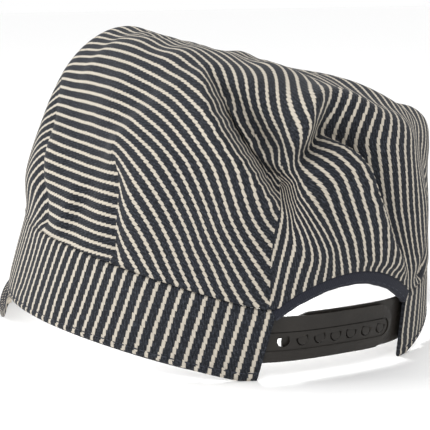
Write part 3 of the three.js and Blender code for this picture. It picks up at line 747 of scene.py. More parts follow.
def crown_mesh():
    rows, cols = outer.shape[:2]
    pick = np.round(np.linspace(0, rows - 1, INNER_ROWS)).astype(int)
    inner = outer[pick] - outer_normal[pick] * CLOTH_MM
    inner[0] = outer[0]
    inner[0] += inward_ray(grid_azimuth[0]) * CLOTH_MM
    top = middle_point + np.array([0, 0, SEAM_GAP])
    points = np.vstack([outer.reshape(-1, 3), top, inner.reshape(-1, 3),
                        top - np.array([0, 0, CLOTH_MM])])
    inner_start = rows * cols + 1
    quads = grid_faces(rows, cols, True)
    inner_quads = grid_faces(INNER_ROWS, cols, True, inner_start)[:, ::-1]
    c = np.arange(cols)
    n = (c + 1) % cols
    edge_quads = np.stack([inner_start + c, inner_start + n, n, c], axis=1)
    last_row = (rows - 1) * cols
    fans = np.stack([last_row + c, last_row + n, 0 * c + rows * cols], axis=1)
    inner_last = inner_start + (INNER_ROWS - 1) * cols
    inner_fans = np.stack([inner_last + n, inner_last + c, 0 * c + inner_start
                           + INNER_ROWS * cols], axis=1)
    piece = mesh_object("crown_cloth", to_frame(points),
                        quads.tolist() + inner_quads.tolist() + edge_quads.tolist()
                        + fans.tolist() + inner_fans.tolist())
    cloth = np.stack([panel[:, :-1] for panel in panel_cloth], axis=1).reshape(rows, cols, 2)
    far = np.stack([panel[:, 1:] for panel in panel_cloth], axis=1).reshape(rows, cols, 2)
    quad_uv = np.stack([cloth[:-1], far[:-1], far[1:], cloth[1:]], axis=2).reshape(-1, 2)
    pc, pf = cloth[pick], far[pick]
    inner_uv = np.stack([pc[1:], pf[1:], pf[:-1], pc[:-1]], axis=2).reshape(-1, 2)
    edge_uv = np.stack([cloth[0], far[0], far[0], cloth[0]], axis=1).reshape(-1, 2)
    middle = np.repeat(pole_cloth[None], cols, axis=0)
    fan_uv = np.stack([cloth[-1], far[-1], middle], axis=1).reshape(-1, 2)
    inner_fan_uv = np.stack([far[-1], cloth[-1], middle], axis=1).reshape(-1, 2)
    cloth_uv = np.vstack([quad_uv, inner_uv, edge_uv, fan_uv, inner_fan_uv])
    set_uv(piece.data, cloth_uv * MM * CROWN_SHRINK)
    smooth_faces(piece)
    return piece


crown = crown_mesh()
print("crown faces", len(crown.data.polygons))

# %% [markdown]
# ## The head band
# The band is a straight strip of the same cloth, so its stripes stand upright all the way
# round. Its hem and its top are turned edges, which a rounded cross-section gives.

# %% Build the band
SWEATBAND_SHOWS = 1.1
BAND_COLUMNS = 420
BAND_STRETCH = 0.86
BAND_MEASURED_AT = 18
LAST_STRIPE_FROM_END = 2.6
PITCH_MM = 4.4
HEM_STITCH_HEIGHT = 3.4


def inward_at(azimuth):
    """The level unit vector that stands square to the band."""
    return unit(inward_ray(azimuth) / np.array([HEM_HALF_WIDTH, HEM_HALF_LENGTH, 1.0]))


def wall_point(azimuth, height, depth):
    """A point of the band's wall, at a height over the hem and a depth into the band."""
    low, high = hem_point(azimuth), seam_point(azimuth)
    share = (height / (high[..., 2] - low[..., 2]))[..., None]
    return low + (high - low) * share + inward_at(azimuth) * np.asarray(depth)[..., None]


def run_along(points):
    """The length walked along a line of points, at each of them."""
    return np.concatenate([[0], np.cumsum(np.linalg.norm(np.diff(points, axis=0), axis=1))])


def swept_faces(stations, count, outward, cap_faces):
    """Faces between neighbouring sections of count points, and over the two end sections.

    outward is 1 or -1, by the way round that the points of a section go.
    """
    quads = grid_faces(stations, count, True)
    if outward < 0:
        quads = quads[:, [0, 3, 2, 1]]
    faces = quads.tolist()
    for first, order in ((0, -outward), ((stations - 1) * count, outward)):
        for j in range(cap_faces):
            cap = [first + k for k in (j, j + 1, count - 2 - j, count - 1 - j)]
            faces.append(list(dict.fromkeys(cap))[::order])
    return faces


hem_steps = np.linspace(-180, 180, 7201)
hem_length = run_along(wall_point(hem_steps, 0 * hem_steps + BAND_MEASURED_AT, 0 * hem_steps))


def strip_mesh(name, azimuths, profile):
    """A strip along the band. profile(azimuth) gives rows of (height, depth) round its section."""
    sections = [profile(a) for a in azimuths]
    heights = np.array([[h for h, d in s] for s in sections])
    depths = np.array([[d for h, d in s] for s in sections])
    a = np.repeat(azimuths[:, None], heights.shape[1], axis=1)
    points = wall_point(a, heights, depths)
    count = heights.shape[1]
    caps = count // 2 - 1
    piece = mesh_object(name, to_frame(points.reshape(-1, 3)),
                        swept_faces(len(azimuths), count, -1, caps))
    length = np.interp(a, hem_steps, hem_length)
    length = (length - length.max() + LAST_STRIPE_FROM_END) * BAND_STRETCH + PITCH_MM / 2
    uv = np.stack([length, heights], axis=-1).reshape(-1, 2) * MM
    corner_uv = uv[corner_vertices(piece)]
    # The ends are turned edges and show the dark cloth between two stripes.
    corner_uv[-4 * 2 * caps:, 0] = 0.0
    set_uv(piece.data, corner_uv)
    smooth_faces(piece, 50)
    return piece


def band_section(azimuth):
    """A turned hem, the dip of its sewing, slack cloth up the middle and a turned top."""
    height = float(seam_point(np.array(azimuth))[2] - hem_height(azimuth))
    bottom = min(SWEATBAND_SHOWS, float(hem_height(azimuth)) / 5)
    half = BAND_CLOTH / 2
    wave = 0.25 * math.sin(azimuth * 0.21) + 0.2 * math.sin(azimuth * 0.5 + 1)
    levels = [bottom + 0.5, bottom + 1.4, HEM_STITCH_HEIGHT - 0.5, HEM_STITCH_HEIGHT,
              HEM_STITCH_HEIGHT + 0.5, 6, 10, 16, 22, 28, height - 3, height - 1.2, height - 0.4]
    depths = [0.35, 0.0, 0.12, 0.32, 0.12, 0.0, -wave, -wave, -wave, -wave * 0.5, 0.0, 0.15, 0.5]
    outer_side = list(zip(levels, depths))
    inner_side = [(h, BAND_CLOTH - 0.05) for h in levels[::-1]]
    inner_side[0] = (height - 0.3, BAND_CLOTH - 0.35)
    return [(bottom, half * 0.7)] + outer_side + [(height, half)] + inner_side[:-1] + [
        (bottom + 0.3, BAND_CLOTH - 0.2), (bottom, half * 1.3)]


band_azimuths = np.linspace(-BAND_END, BAND_END, BAND_COLUMNS + 1)
band = strip_mesh("head_band_cloth", band_azimuths, band_section)
print("band faces", len(band.data.polygons))

# %% [markdown]
# ## The sweatband
# A strip of dark cotton lines the head band. Only its lower edge shows under the hem, and its
# inner face shows through the back opening and from below. The band's own function builds it,
# one cloth further in.

# %% Build the sweatband
SWEATBAND_CLOTH = 1.2
SWEATBAND_HEIGHT = 30.0
SWEATBAND_BACK_GAP = 13.0


def sweatband_section(azimuth):
    """The same section all the way round, a little slack on the inner side."""
    near = BAND_CLOTH + SEAM_GAP
    far = near + SWEATBAND_CLOTH
    mid = (near + far) / 2
    levels = [0.5, 1.6, 2.4, 3.2, 10, 18, 26, SWEATBAND_HEIGHT - 0.5]
    puff = [0.0, 0.0, 0.25, 0.0, -0.1, -0.1, 0.0, 0.0]
    front = [(h, near) for h in levels]
    back = [(h, far - p) for h, p in zip(levels[::-1], puff[::-1])]
    return [(0.0, near + 0.4)] + front + [(SWEATBAND_HEIGHT, mid)] + [
        (SWEATBAND_HEIGHT, mid + 0.1)] + back + [(0.0, far - 0.4)]


sweat_end = BAND_END - SWEATBAND_BACK_GAP
sweatband = strip_mesh("sweatband_cloth", np.linspace(-sweat_end, sweat_end, 301),
                       sweatband_section)
print("sweatband faces", len(sweatband.data.polygons))

# %% [markdown]
# ## The visor
# The visor is stiff board covered in the striped cloth, sewn under the front of the band. It
# droops at both sides and its outer edge is rounded. One section from the hem to the rim, over
# the edge and back underneath, is swept from corner to corner. Its upper sewn edge is tucked a
# little way into the hem, so that no light shows between the two.

# %% Build the visor
VISOR_THICKNESS = 3.0
VISOR_CORNER_AZIMUTH = 70.0
VISOR_TIP_HEIGHT = 5.0
VISOR_SIDE_SHARE = 0.72
VISOR_RIM_POWER = 1.6
VISOR_SEAM_INSET = 1.0
VISOR_TUCKED_IN = 0.5
VISOR_END_SWING = 84
VISOR_STATIONS = 221
VISOR_STEPS = 26
VISOR_EDGE_STEPS = 9
VISOR_CLOTH_SCALE = 1.04
NEAR_RIM = 0.9


def visor_point(across, share, depth):
    """across runs from -1 to 1 over the visor, share from 0 at the hem to 1 at the rim."""
    across, share, depth = np.broadcast_arrays(across, share, depth)
    seam = hem_point(across * VISOR_CORNER_AZIMUTH)
    seam[..., 0] *= 1 - VISOR_SEAM_INSET / HEM_HALF_WIDTH
    seam[..., 1] *= 1 - VISOR_SEAM_INSET / HEM_HALF_LENGTH
    seam[..., 2] -= SEAM_GAP
    corner = hem_point(np.array(VISOR_CORNER_AZIMUTH))
    swing = np.radians(across * 90)
    reach = VISOR_REACH / MM + corner[1]
    side = np.minimum(1, np.abs(across) / VISOR_SIDE_SHARE)
    corners = np.clip((np.abs(across) - VISOR_SIDE_SHARE) / (1 - VISOR_SIDE_SHARE), 0, 1)
    height = (VISOR_THICKNESS + VISOR_TIP_HEIGHT * np.cos(np.radians(90 * side)) ** 2
              + (corner[2] - SEAM_GAP - VISOR_THICKNESS) * corners ** 2)
    rim = np.stack([corner[0] * np.sin(swing),
                    corner[1] - reach * np.cos(swing) ** VISOR_RIM_POWER, height], axis=-1)
    point = seam + (rim - seam) * share[..., None]
    sewn_edge = (share == 0) & (depth == 0)
    point[..., 2] += np.where(sewn_edge, SEAM_GAP + VISOR_TUCKED_IN, -depth)
    return point


def visor_mesh():
    """The swept section, with the cloth turned over the rim without a break in its stripes."""
    across = np.sin(np.radians(np.linspace(-VISOR_END_SWING, VISOR_END_SWING, VISOR_STATIONS)))
    half = VISOR_THICKNESS / 2
    bend = np.radians(np.linspace(90, -90, VISOR_EDGE_STEPS))
    shares = np.linspace(0, 1, VISOR_STEPS)
    section = [(s, 0.0, 0.0) for s in shares[:-1]]
    section += [(1.0, half - half * math.sin(b), half * math.cos(b)) for b in bend]
    section += [(s, VISOR_THICKNESS, 0.0) for s in shares[::-1][1:]]
    share = np.array([s for s, d, o in section])[None]
    depth = np.array([d for s, d, o in section])[None]
    out = np.array([o for s, d, o in section])[None, :, None]
    points = visor_point(across[:, None], share, depth)
    radial = visor_point(across, np.ones(1), np.zeros(1)) - visor_point(
        across, np.full(1, NEAR_RIM), np.zeros(1))
    radial[..., 2] = 0
    length = np.linalg.norm(radial, axis=-1, keepdims=True)
    radial = radial / np.maximum(length, 1e-6)
    points = points + radial[:, None] * (out - half)
    rim_step = VISOR_STEPS - 1
    past = np.zeros(points.shape[:2])
    steps = np.linalg.norm(np.diff(points[:, rim_step:], axis=1), axis=2)
    past[:, rim_step + 1:] = np.cumsum(steps, axis=1)
    on_top = (np.arange(points.shape[1]) <= rim_step)[None, :, None]
    flat = np.where(on_top, points, points[:, rim_step:rim_step + 1])
    flat = flat + radial[:, None] * past[..., None]
    count = points.shape[1]
    piece = mesh_object("visor_cloth", to_frame(points.reshape(-1, 3)),
                        swept_faces(len(across), count, 1, count // 2))
    flat = np.stack([flat[..., 1], flat[..., 0] * VISOR_CLOTH_SCALE], axis=-1).reshape(-1, 2) * MM
    set_uv(piece.data, flat[corner_vertices(piece)])
    smooth_faces(piece, 60)
    return piece


visor = visor_mesh()
print("visor faces", len(visor.data.polygons))

# %% [markdown]
# ## The binding of the back opening
# A navy bias tape is folded over the raw edge of the arch. It is a soft flat roll, a little
# uneven where it is stretched round the bend, so its section is rounded and swells and pinches
# along the way.

# %% Build the binding
BINDING_WIDTH = 5.4
BINDING_THICKNESS = 2.8
BINDING_STATIONS = 161
BINDING_SIDES = 24
END_NARROWING = 0.45
END_LENGTH = 0.12
FLATNESS, ROUNDNESS = 0.45, 0.7
arch_share = np.linspace(0, 1, BINDING_STATIONS)
TAPE_OVER_EDGE = 0.8
arch_azimuths = 180 - (OPENING_HALF_ANGLE + 0.9) * np.cos(np.radians(180 * arch_share))


def binding_point(azimuth, drop, depth):
    """A place on the tape: a drop under the crown's edge and a depth into the opening."""
    lean = BAND_BACK_LEAN / BAND_HEIGHT
    point = crown_edge(azimuth) + inward_ray(azimuth) * np.asarray(depth + drop * lean)[..., None]
    point[..., 2] -= drop
    return point


def binding_mesh():
    """A flat roll that narrows at both ends and puckers a little along the way."""
    sides = BINDING_SIDES
    turn = np.radians(np.linspace(0, 360, sides + 1)[:-1])
    widening = smooth(np.minimum(arch_share, 1 - arch_share) / END_LENGTH)
    tuck = END_NARROWING + (1 - END_NARROWING) * widening
    pucker = 1 + 0.012 * np.sin(arch_share * 95) + 0.02 * np.sin(arch_share * 41 + 1)
    width = (BINDING_WIDTH * tuck * pucker)[:, None]
    flat = np.sign(np.cos(turn)) * np.abs(np.cos(turn)) ** FLATNESS
    thick = np.sign(np.sin(turn)) * np.abs(np.sin(turn)) ** ROUNDNESS
    over = TAPE_OVER_EDGE * widening[:, None]
    drop = (width + over) * (0.5 - 0.5 * flat[None]) - over
    depth = BINDING_THICKNESS * (0.5 - 0.5 * thick[None]) - over * 0.5 + 0 * drop
    points = binding_point(np.repeat(arch_azimuths[:, None], sides, axis=1), drop, depth)
    faces = grid_faces(BINDING_STATIONS, sides, True).tolist()
    faces.append(list(range(sides))[::-1])
    faces.append([(BINDING_STATIONS - 1) * sides + k for k in range(sides)])
    piece = mesh_object("opening_binding_tape", to_frame(points.reshape(-1, 3)), faces)
    run = np.repeat(run_along(points[:, 0])[:, None], sides, axis=1)
    uv = np.stack([run, drop], axis=-1).reshape(-1, 2) * MM
    set_uv(piece.data, uv[corner_vertices(piece)])
    smooth_faces(piece, 60)
    return piece


binding = binding_mesh()
print("binding faces", len(binding.data.polygons))

# %% [markdown]
# ## The snap strap
# Two moulded straps overlap across the opening. The outer one, from the wearer's left, has a
# shallow channel with seven holes. Posts on the inner one stand in six of them. Moulded plastic
# has crisp but slightly rounded edges: the straps are swept slabs, the channel and the holes are
# cut with booleans, and a small bevel softens the edges.

# %% Strap sizes and slabs
STRAP_HEIGHT = 19.2
STRAP_THICKNESS = 1.2
STRAP_BOTTOM = 7.0
STRAP_GAP = 0.3
STRAP_SAG = 2.5
STRAP_TUCK = 11.0
STRAP_END_PAST_HOLE = 6.2
HOLE_COUNT = 7
HOLE_PITCH = 8.38
HOLE_DIAMETER = 5.0
HOLE_DROP = 0.8
FIRST_HOLE = 28.0
END_CROWDING = 2.2
TIP_SQUARED = 0.02
CHANNEL_HEIGHT = 8.2
CHANNEL_DEPTH = 0.4
POST_CLEARANCE = 0.35
POST_HEIGHT = 1.1
POST_STRAP_RISE = 0.9
POST_STRAP_PAST_POST = 8.9
strap_end = HEM_HALF_WIDTH * math.sin(math.radians(BAND_END))
hole_places = [FIRST_HOLE - i * HOLE_PITCH for i in range(HOLE_COUNT)]
hole_height = STRAP_HEIGHT / 2 - HOLE_DROP


def strap_point(place, height, depth):
    """A point of the strap: a place across the opening, a height over its lower edge, a depth."""
    place, height, depth = np.broadcast_arrays(
        np.asarray(place, float), np.asarray(height, float), np.asarray(depth, float))
    azimuth = 180 - np.degrees(np.arcsin(place / HEM_HALF_WIDTH))
    across = np.minimum(1, np.abs(place / strap_end))
    sag = STRAP_SAG * (1 - across ** 2) ** 2
    return wall_point(azimuth, STRAP_BOTTOM + height - hem_height(azimuth),
                      BAND_CLOTH + STRAP_GAP + sag + depth)


def strap_slab(name, start, end, bottom, top, depth, thickness, steps=90):
    """A strap from start to end, with a round end there."""
    half, mid = (top - bottom) / 2, (top + bottom) / 2
    places = start + (end - start) * (1 - (1 - np.linspace(0, 1, steps + 1)) ** END_CROWDING)
    left = np.abs(end - places)
    high = np.where(left >= half, half, np.sqrt(np.maximum(
        TIP_SQUARED, half ** 2 - np.clip(half - left, 0, half) ** 2)))
    levels = np.linspace(-1, 1, 7)
    front = strap_point(places[:, None], mid + high[:, None] * levels, depth)
    back = strap_point(places[:, None], mid + high[:, None] * levels[::-1], depth + thickness)
    points = np.concatenate([front, back], axis=1)
    count = points.shape[1]
    piece = mesh_object(name, to_frame(points.reshape(-1, 3)),
                        swept_faces(steps + 1, count, 1, count // 2 - 1))
    fix_normals(piece)
    return piece


def fix_normals(piece):
    """Turns all faces outward."""
    mesh = bmesh.new()
    mesh.from_mesh(piece.data)
    bmesh.ops.recalc_face_normals(mesh, faces=mesh.faces)
    mesh.to_mesh(piece.data)
    mesh.free()


def turned(name, place, rows, sides=40):
    """A round form standing square to the strap. rows: radius and depth, from the front in."""
    near = to_frame(strap_point(place, hole_height, 0.0))
    far = to_frame(strap_point(place, hole_height, 2.0))
    axis = Vector(far - near).normalized()
    side = axis.cross(Vector((0, 0, 1))).normalized()
    up = side.cross(axis)
    points = []
    for radius, depth in rows:
        for k in range(sides):
            a = 2 * math.pi * k / sides
            spot = Vector(near) + axis * depth * MM
            points.append(spot + (side * math.cos(a) + up * math.sin(a)) * radius * MM)
    faces = grid_faces(len(rows), sides, True).tolist()
    faces.append(list(range(sides)))
    faces.append(list(range((len(rows) - 1) * sides, len(rows) * sides)))
    piece = mesh_object(name, points, faces)
    fix_normals(piece)
    return piece


def carve(piece, tool, kind):
    """Cuts a tool from a piece or joins it on, and throws the tool away."""
    step = piece.modifiers.new("carve", "BOOLEAN")
    step.operation = kind
    step.solver = "EXACT"
    step.object = tool
    apply_modifiers(piece)
    bpy.data.objects.remove(tool)


def apply_modifiers(piece):
    """Makes what the modifiers show the piece's own mesh."""
    graph = bpy.context.evaluated_depsgraph_get()
    mesh = bpy.data.meshes.new_from_object(piece.evaluated_get(graph))
    piece.modifiers.clear()
    old = piece.data
    piece.data = mesh
    bpy.data.meshes.remove(old)


print("holes at", [round(p, 1) for p in hole_places])

# %% [markdown]
# The channel is cut to the depth of its groove, and a floor is laid back in that leaves the
# groove along the upper edge and round the end. The holes go through the floor, each with a
# small flare in front. The pull of the strap draws all posts to one side of their holes, which
# leaves a thin crescent of shadow on the other side.

# %% Cut the holes and raise the posts
SNAP_PULL = 0.28
GROOVE_WIDTH = 0.55
GROOVE_DEPTH = 0.7
CHANNEL_END = 1.6
FLOOR_OVERLAP = 0.05
FLOOR_DEPTH = CHANNEL_DEPTH - 0.1
FLOOR_THICKNESS = 0.7
SOFT_EDGE = 0.18
outer_end = hole_places[-1] - STRAP_END_PAST_HOLE
strap_holes = strap_slab("snap_strap_outer", strap_end + STRAP_TUCK, outer_end, 0, STRAP_HEIGHT,
                         0, STRAP_THICKNESS)
channel_low = hole_height - CHANNEL_HEIGHT / 2
channel_top = channel_low + CHANNEL_HEIGHT
carve(strap_holes, strap_slab("channel_tool", strap_end + 1, outer_end + CHANNEL_END, channel_low,
                              channel_top, -1.0, 1.0 + GROOVE_DEPTH), "DIFFERENCE")
carve(strap_holes, strap_slab("channel_floor", strap_end + 1.6,
                              outer_end + CHANNEL_END + GROOVE_WIDTH,
                              channel_low - FLOOR_OVERLAP, channel_top - GROOVE_WIDTH,
                              FLOOR_DEPTH, FLOOR_THICKNESS), "UNION")
radius = HOLE_DIAMETER / 2
for place in hole_places:
    carve(strap_holes, turned("hole_tool", place, [
        (radius + 0.5, CHANNEL_DEPTH - 0.5), (radius + 0.05, CHANNEL_DEPTH - 0.05),
        (radius, CHANNEL_DEPTH + 0.1), (radius, STRAP_THICKNESS + 1)]), "DIFFERENCE")
inner_depth = STRAP_THICKNESS + STRAP_GAP
strap_posts = strap_slab("snap_strap_inner", -strap_end - STRAP_TUCK,
                         hole_places[1] + POST_STRAP_PAST_POST, 0, STRAP_HEIGHT + POST_STRAP_RISE,
                         inner_depth, STRAP_THICKNESS)
post_radius = radius - POST_CLEARANCE
for place in hole_places[1:]:
    front = inner_depth - POST_HEIGHT
    # A rounded head, and the side down into the strap.
    carve(strap_posts, turned("post_tool", place - SNAP_PULL, [
        (0.4, front), (post_radius - 0.6, front + 0.03), (post_radius - 0.2, front + 0.1),
        (post_radius, front + 0.3), (post_radius, inner_depth + STRAP_THICKNESS / 2)]), "UNION")
for piece in (strap_holes, strap_posts):
    soft = piece.modifiers.new("soft_edges", "BEVEL")
    soft.width = SOFT_EDGE * MM
    soft.segments = 2
    soft.limit_method = "ANGLE"
    soft.angle_limit = math.radians(50)
    soft.use_clamp_overlap = True
    apply_modifiers(piece)
    smooth_faces(piece, 35)
    print(piece.name, "faces", len(piece.data.polygons))

# %% [markdown]
# ## The sewing
# A needle leaves a row of short raised stitches that dip into the cloth at both ends. One
# function lays them along any line on the cap: round the hem, in four rows over the visor and
# along the tape of the opening.

# %% Sew the rows
STITCH_LENGTH = 2.5
STITCH_GAP = 0.6
STITCH_RISE, STITCH_DIP = 0.16, 0.34
STITCH_RINGS = 7
THREAD_RADIUS = 0.24
THREAD_SIDES = 6


def stitch_row(path, outward):
    """Points and faces of a row of stitches along a path of points, lifted outward."""
    run = run_along(path)
    count = int(run[-1] / (STITCH_LENGTH + STITCH_GAP))
    starts = (np.arange(count) + 0.5) * run[-1] / count
    along = np.linspace(-1, 1, STITCH_RINGS)
    at = starts[:, None] + along[None] * STITCH_LENGTH / 2
    spot = np.stack([np.interp(at, run, path[:, k]) for k in range(3)], axis=-1)
    lift = unit(np.stack([np.interp(at, run, outward[:, k]) for k in range(3)], axis=-1))
    side = np.cross(unit(spot[:, -1:] - spot[:, :1]), lift)
    rise = (STITCH_RISE - STITCH_DIP * along ** 4)[None, :, None]
    thick = (THREAD_RADIUS * np.sqrt(1.04 - along ** 6 * 0.9))[None, :, None, None]
    centre = spot + lift * rise
    turn = np.radians(np.arange(THREAD_SIDES) * 360 / THREAD_SIDES)
    ring = side[:, :, None] * np.cos(turn)[:, None] + lift[:, :, None] * np.sin(turn)[:, None]
    points = (centre[:, :, None] + ring * thick).reshape(-1, 3)
    faces = []
    for stitch in range(count):
        first = stitch * STITCH_RINGS * THREAD_SIDES
        last = first + (STITCH_RINGS - 1) * THREAD_SIDES
        faces += grid_faces(STITCH_RINGS, THREAD_SIDES, True, first).tolist()
        faces.append([first + k for k in range(THREAD_SIDES)][::-1])
        faces.append([last + k for k in range(THREAD_SIDES)])
    return points, faces


def sewing(name, rows):
    """One piece with all the stitches of some rows."""
    points, faces = [], []
    for path, outward in rows:
        more, quads = stitch_row(path, outward)
        start = sum(len(p) for p in points)
        points.append(more)
        faces += [[start + v for v in face] for face in quads]
    piece = mesh_object(name, to_frame(np.vstack(points)), faces)
    fix_normals(piece)
    smooth_faces(piece, 180)
    print(name, "faces", len(piece.data.polygons))
    return piece


HEM_ROW_END = BAND_END - 1.2
HEM_ROW_DEPTH = 0.28
hem_turn = np.linspace(-HEM_ROW_END, HEM_ROW_END, 600)
hem_line = wall_point(hem_turn, 0 * hem_turn + HEM_STITCH_HEIGHT, HEM_ROW_DEPTH)
hem_sewing = sewing("hem_sewing", [(hem_line, -inward_at(hem_turn))])

VISOR_ROWS = [0.93, 0.77, 0.61, 0.45]
VISOR_ROW_SWING = 76
row_across = np.sin(np.radians(np.linspace(-VISOR_ROW_SWING, VISOR_ROW_SWING, 400)))
straight_up = np.tile([0.0, 0.0, 1.0], (len(row_across), 1))
visor_sewing = sewing("visor_sewing", [
    (visor_point(row_across, share, 0.0), straight_up) for share in VISOR_ROWS])

TAPE_ROW_DROP = 3.9
TAPE_ROW_LIFT = 0.2
ROW_START = 6
row_azimuths = arch_azimuths[ROW_START:-ROW_START]
tape_line = binding_point(row_azimuths, 0 * row_azimuths + TAPE_ROW_DROP,
                          0 * row_azimuths - TAPE_ROW_LIFT)
tape_sewing = sewing("opening_binding_sewing", [(tape_line, -inward_at(row_azimuths))])

# %% [markdown]
# ## Tools for the finishes
# A finish is a small program of shader nodes. A few helpers keep it short: they make an empty
# node group with named sockets, and add a sum, a mix, a range or any other node and set it up.

# %% Node helpers
def shader_group(name, inputs, outputs):
    """An empty group with its tree, its input values and its output sockets."""
    tree = bpy.data.node_groups.new(name, "ShaderNodeTree")
    for label, kind in inputs.items():
        tree.interface.new_socket(label, in_out="INPUT", socket_type="NodeSocket" + kind)
    for label, kind in outputs.items():
        tree.interface.new_socket(label, in_out="OUTPUT", socket_type="NodeSocket" + kind)
    return tree, tree.nodes.new("NodeGroupInput").outputs, tree.nodes.new("NodeGroupOutput").inputs


def join(tree, value, socket):
    """Sets a socket to a number or a colour, or links it to another node."""
    if isinstance(value, bpy.types.NodeSocket):
        tree.links.new(value, socket)
    else:
        socket.default_value = value


def calc(tree, operation, *values):
    """A sum of sockets or numbers."""
    node = tree.nodes.new("ShaderNodeMath")
    node.operation = operation
    for socket, value in zip(node.inputs, values):
        join(tree, value, socket)
    return node.outputs[0]


def add_node(tree, kind, settings=(), **inputs):
    """Adds a node. Settings are pairs of a property and a value, inputs go by socket name."""
    node = tree.nodes.new("ShaderNode" + kind)
    for key, value in settings:
        setattr(node, key, value)
    for label, value in inputs.items():
        join(tree, value, node.inputs[label.replace("_", " ")])
    return node


def blend(tree, share, first, second):
    """A mix of two colours, with each a socket or four numbers."""
    node = tree.nodes.new("ShaderNodeMix")
    node.data_type = "RGBA"
    join(tree, share, node.inputs[0])
    join(tree, first, node.inputs[6])
    join(tree, second, node.inputs[7])
    return node.outputs[2]


def spread(tree, value, low, high, to_low=0.0, to_high=1.0):
    """Stretches a range of values onto another one and clips it there."""
    node = add_node(tree, "MapRange", Value=value)
    node.inputs["From Min"].default_value = low
    node.inputs["From Max"].default_value = high
    node.inputs["To Min"].default_value = to_low
    node.inputs["To Max"].default_value = to_high
    return node.outputs[0]


print("node helpers ready")

# %% [markdown]
# ## Weave
# Hickory cloth is a twill: every thread steps one over from the last, which draws fine slanted
# ribs. The group gives three values: the ribs' height, the place within a long step of the
# light threads, and the uneven yarn, which is a noise stretched along the ribs. The cloth
# coordinates are true metres on the fabric, so the weave has one size all over the cap.

# %% Weave group
RIB_STEP = 1.3 * MM
RIB_SLOPE = 2.4
DASH_STEP = 2.5 * MM
DASH_SLOPE = 0.35
YARN_SLOPE = 0.3
YARN_ACROSS, YARN_ALONG = 2300.0, 520.0

weave, given, result = shader_group(
    "twill_weave", {"Cloth": "Vector"}, {"Rib": "Float", "Step": "Float", "Yarn": "Float"})
split = add_node(weave, "SeparateXYZ", Vector=given["Cloth"]).outputs
slant = calc(weave, "MULTIPLY_ADD", split["X"], RIB_SLOPE, split["Y"])
ribs = calc(weave, "ABSOLUTE", calc(weave, "SUBTRACT", calc(
    weave, "FRACT", calc(weave, "DIVIDE", slant, RIB_SLOPE * RIB_STEP)), 0.5))
leaning = calc(weave, "MULTIPLY_ADD", split["Y"], YARN_SLOPE, split["X"])
stretched = add_node(weave, "CombineXYZ", X=calc(weave, "MULTIPLY", leaning, YARN_ACROSS),
                     Y=calc(weave, "MULTIPLY", split["Y"], YARN_ALONG))
yarn = add_node(weave, "TexNoise", Vector=stretched.outputs[0], Scale=1.0, Detail=2.0)
jitter = add_node(weave, "TexNoise", Vector=given["Cloth"], Scale=240.0, Detail=1.0)
dashes = calc(weave, "MULTIPLY_ADD", split["X"], DASH_SLOPE, split["Y"])
dashes = calc(weave, "MULTIPLY_ADD", jitter.outputs[0], 0.5, calc(
    weave, "DIVIDE", dashes, DASH_STEP))
join(weave, spread(weave, ribs, 0.5, 0.1), result["Rib"])
join(weave, calc(weave, "FRACT", dashes), result["Step"])
join(weave, yarn.outputs[0], result["Yarn"])
print("weave nodes", len(weave.nodes))

# %% [markdown]
# ## Stripe
# The light stripe is a bundle of undyed warp threads. The twill steps across it, so the stripe
# reads as a rope of long slanted dashes with ragged edges. The mask is the light stripe's share
# of the pitch, shifted sideways along each dash and pinched where one dash gives way to the
# next.

# %% Stripe group
STRIPE_PITCH = PITCH_MM * MM
LIGHT_SHARE = 0.31
WANDER = 0.1
DASH_SHIFT = 0.105
RAGGEDNESS = 0.1
DASH_PINCH = 0.03

stripe, given, result = shader_group(
    "hickory_stripe", {"Cloth": "Vector", "Step": "Float", "Yarn": "Float"}, {"Light": "Float"})
split = add_node(stripe, "SeparateXYZ", Vector=given["Cloth"]).outputs
wander = add_node(stripe, "TexNoise", Vector=given["Cloth"], Scale=90.0, Detail=1.0).outputs[0]
place = calc(stripe, "DIVIDE", split["X"], STRIPE_PITCH)
place = calc(stripe, "MULTIPLY_ADD", wander, WANDER, place)
place = calc(stripe, "MULTIPLY_ADD", given["Step"], DASH_SHIFT, place)
middle = calc(stripe, "ABSOLUTE", calc(stripe, "SUBTRACT", calc(stripe, "FRACT", place), 0.5))
ragged = calc(stripe, "MULTIPLY_ADD", given["Yarn"], RAGGEDNESS, middle)
ends = calc(stripe, "ABSOLUTE", calc(stripe, "SUBTRACT", given["Step"], 0.5))
ragged = calc(stripe, "ADD", ragged, spread(stripe, ends, 0.34, 0.5, 0.0, DASH_PINCH))
inside = spread(stripe, ragged, LIGHT_SHARE / 2 + 0.075, LIGHT_SHARE / 2 + 0.015)
shade = spread(stripe, given["Yarn"], 0.3, 0.6, 1.0, 0.84)
join(stripe, calc(stripe, "MULTIPLY", inside, shade), result["Light"])
print("stripe nodes", len(stripe.nodes))

# %% [markdown]
# ## Wear
# Washed cotton is never one colour. Broad soft patches are a little faded or soiled, and fine
# flecks of lint and yarn break up the dye. Both come out as values that a finish uses as it
# likes.

# %% Wear group
wear, given, result = shader_group(
    "cotton_wear", {"Place": "Vector", "Cloth": "Vector"}, {"Patches": "Float", "Flecks": "Float"})
patches = add_node(wear, "TexNoise", Vector=given["Place"], Scale=16.0, Detail=3.0)
flecks = add_node(wear, "TexNoise", Vector=given["Cloth"], Scale=1500.0, Detail=2.0)
join(wear, spread(wear, patches.outputs[0], 0.32, 0.68), result["Patches"])
join(wear, spread(wear, flecks.outputs[0], 0.45, 0.75), result["Flecks"])
print("wear nodes", len(wear.nodes))

# %% [markdown]
# ## The striped cloth
# The finish mixes indigo and undyed cotton by the stripe's mask. Cotton is dull and a little
# fuzzy, so the roughness is high and a faint sheen catches light at the edges. The ribs and the
# slightly raised light threads go into a bump.

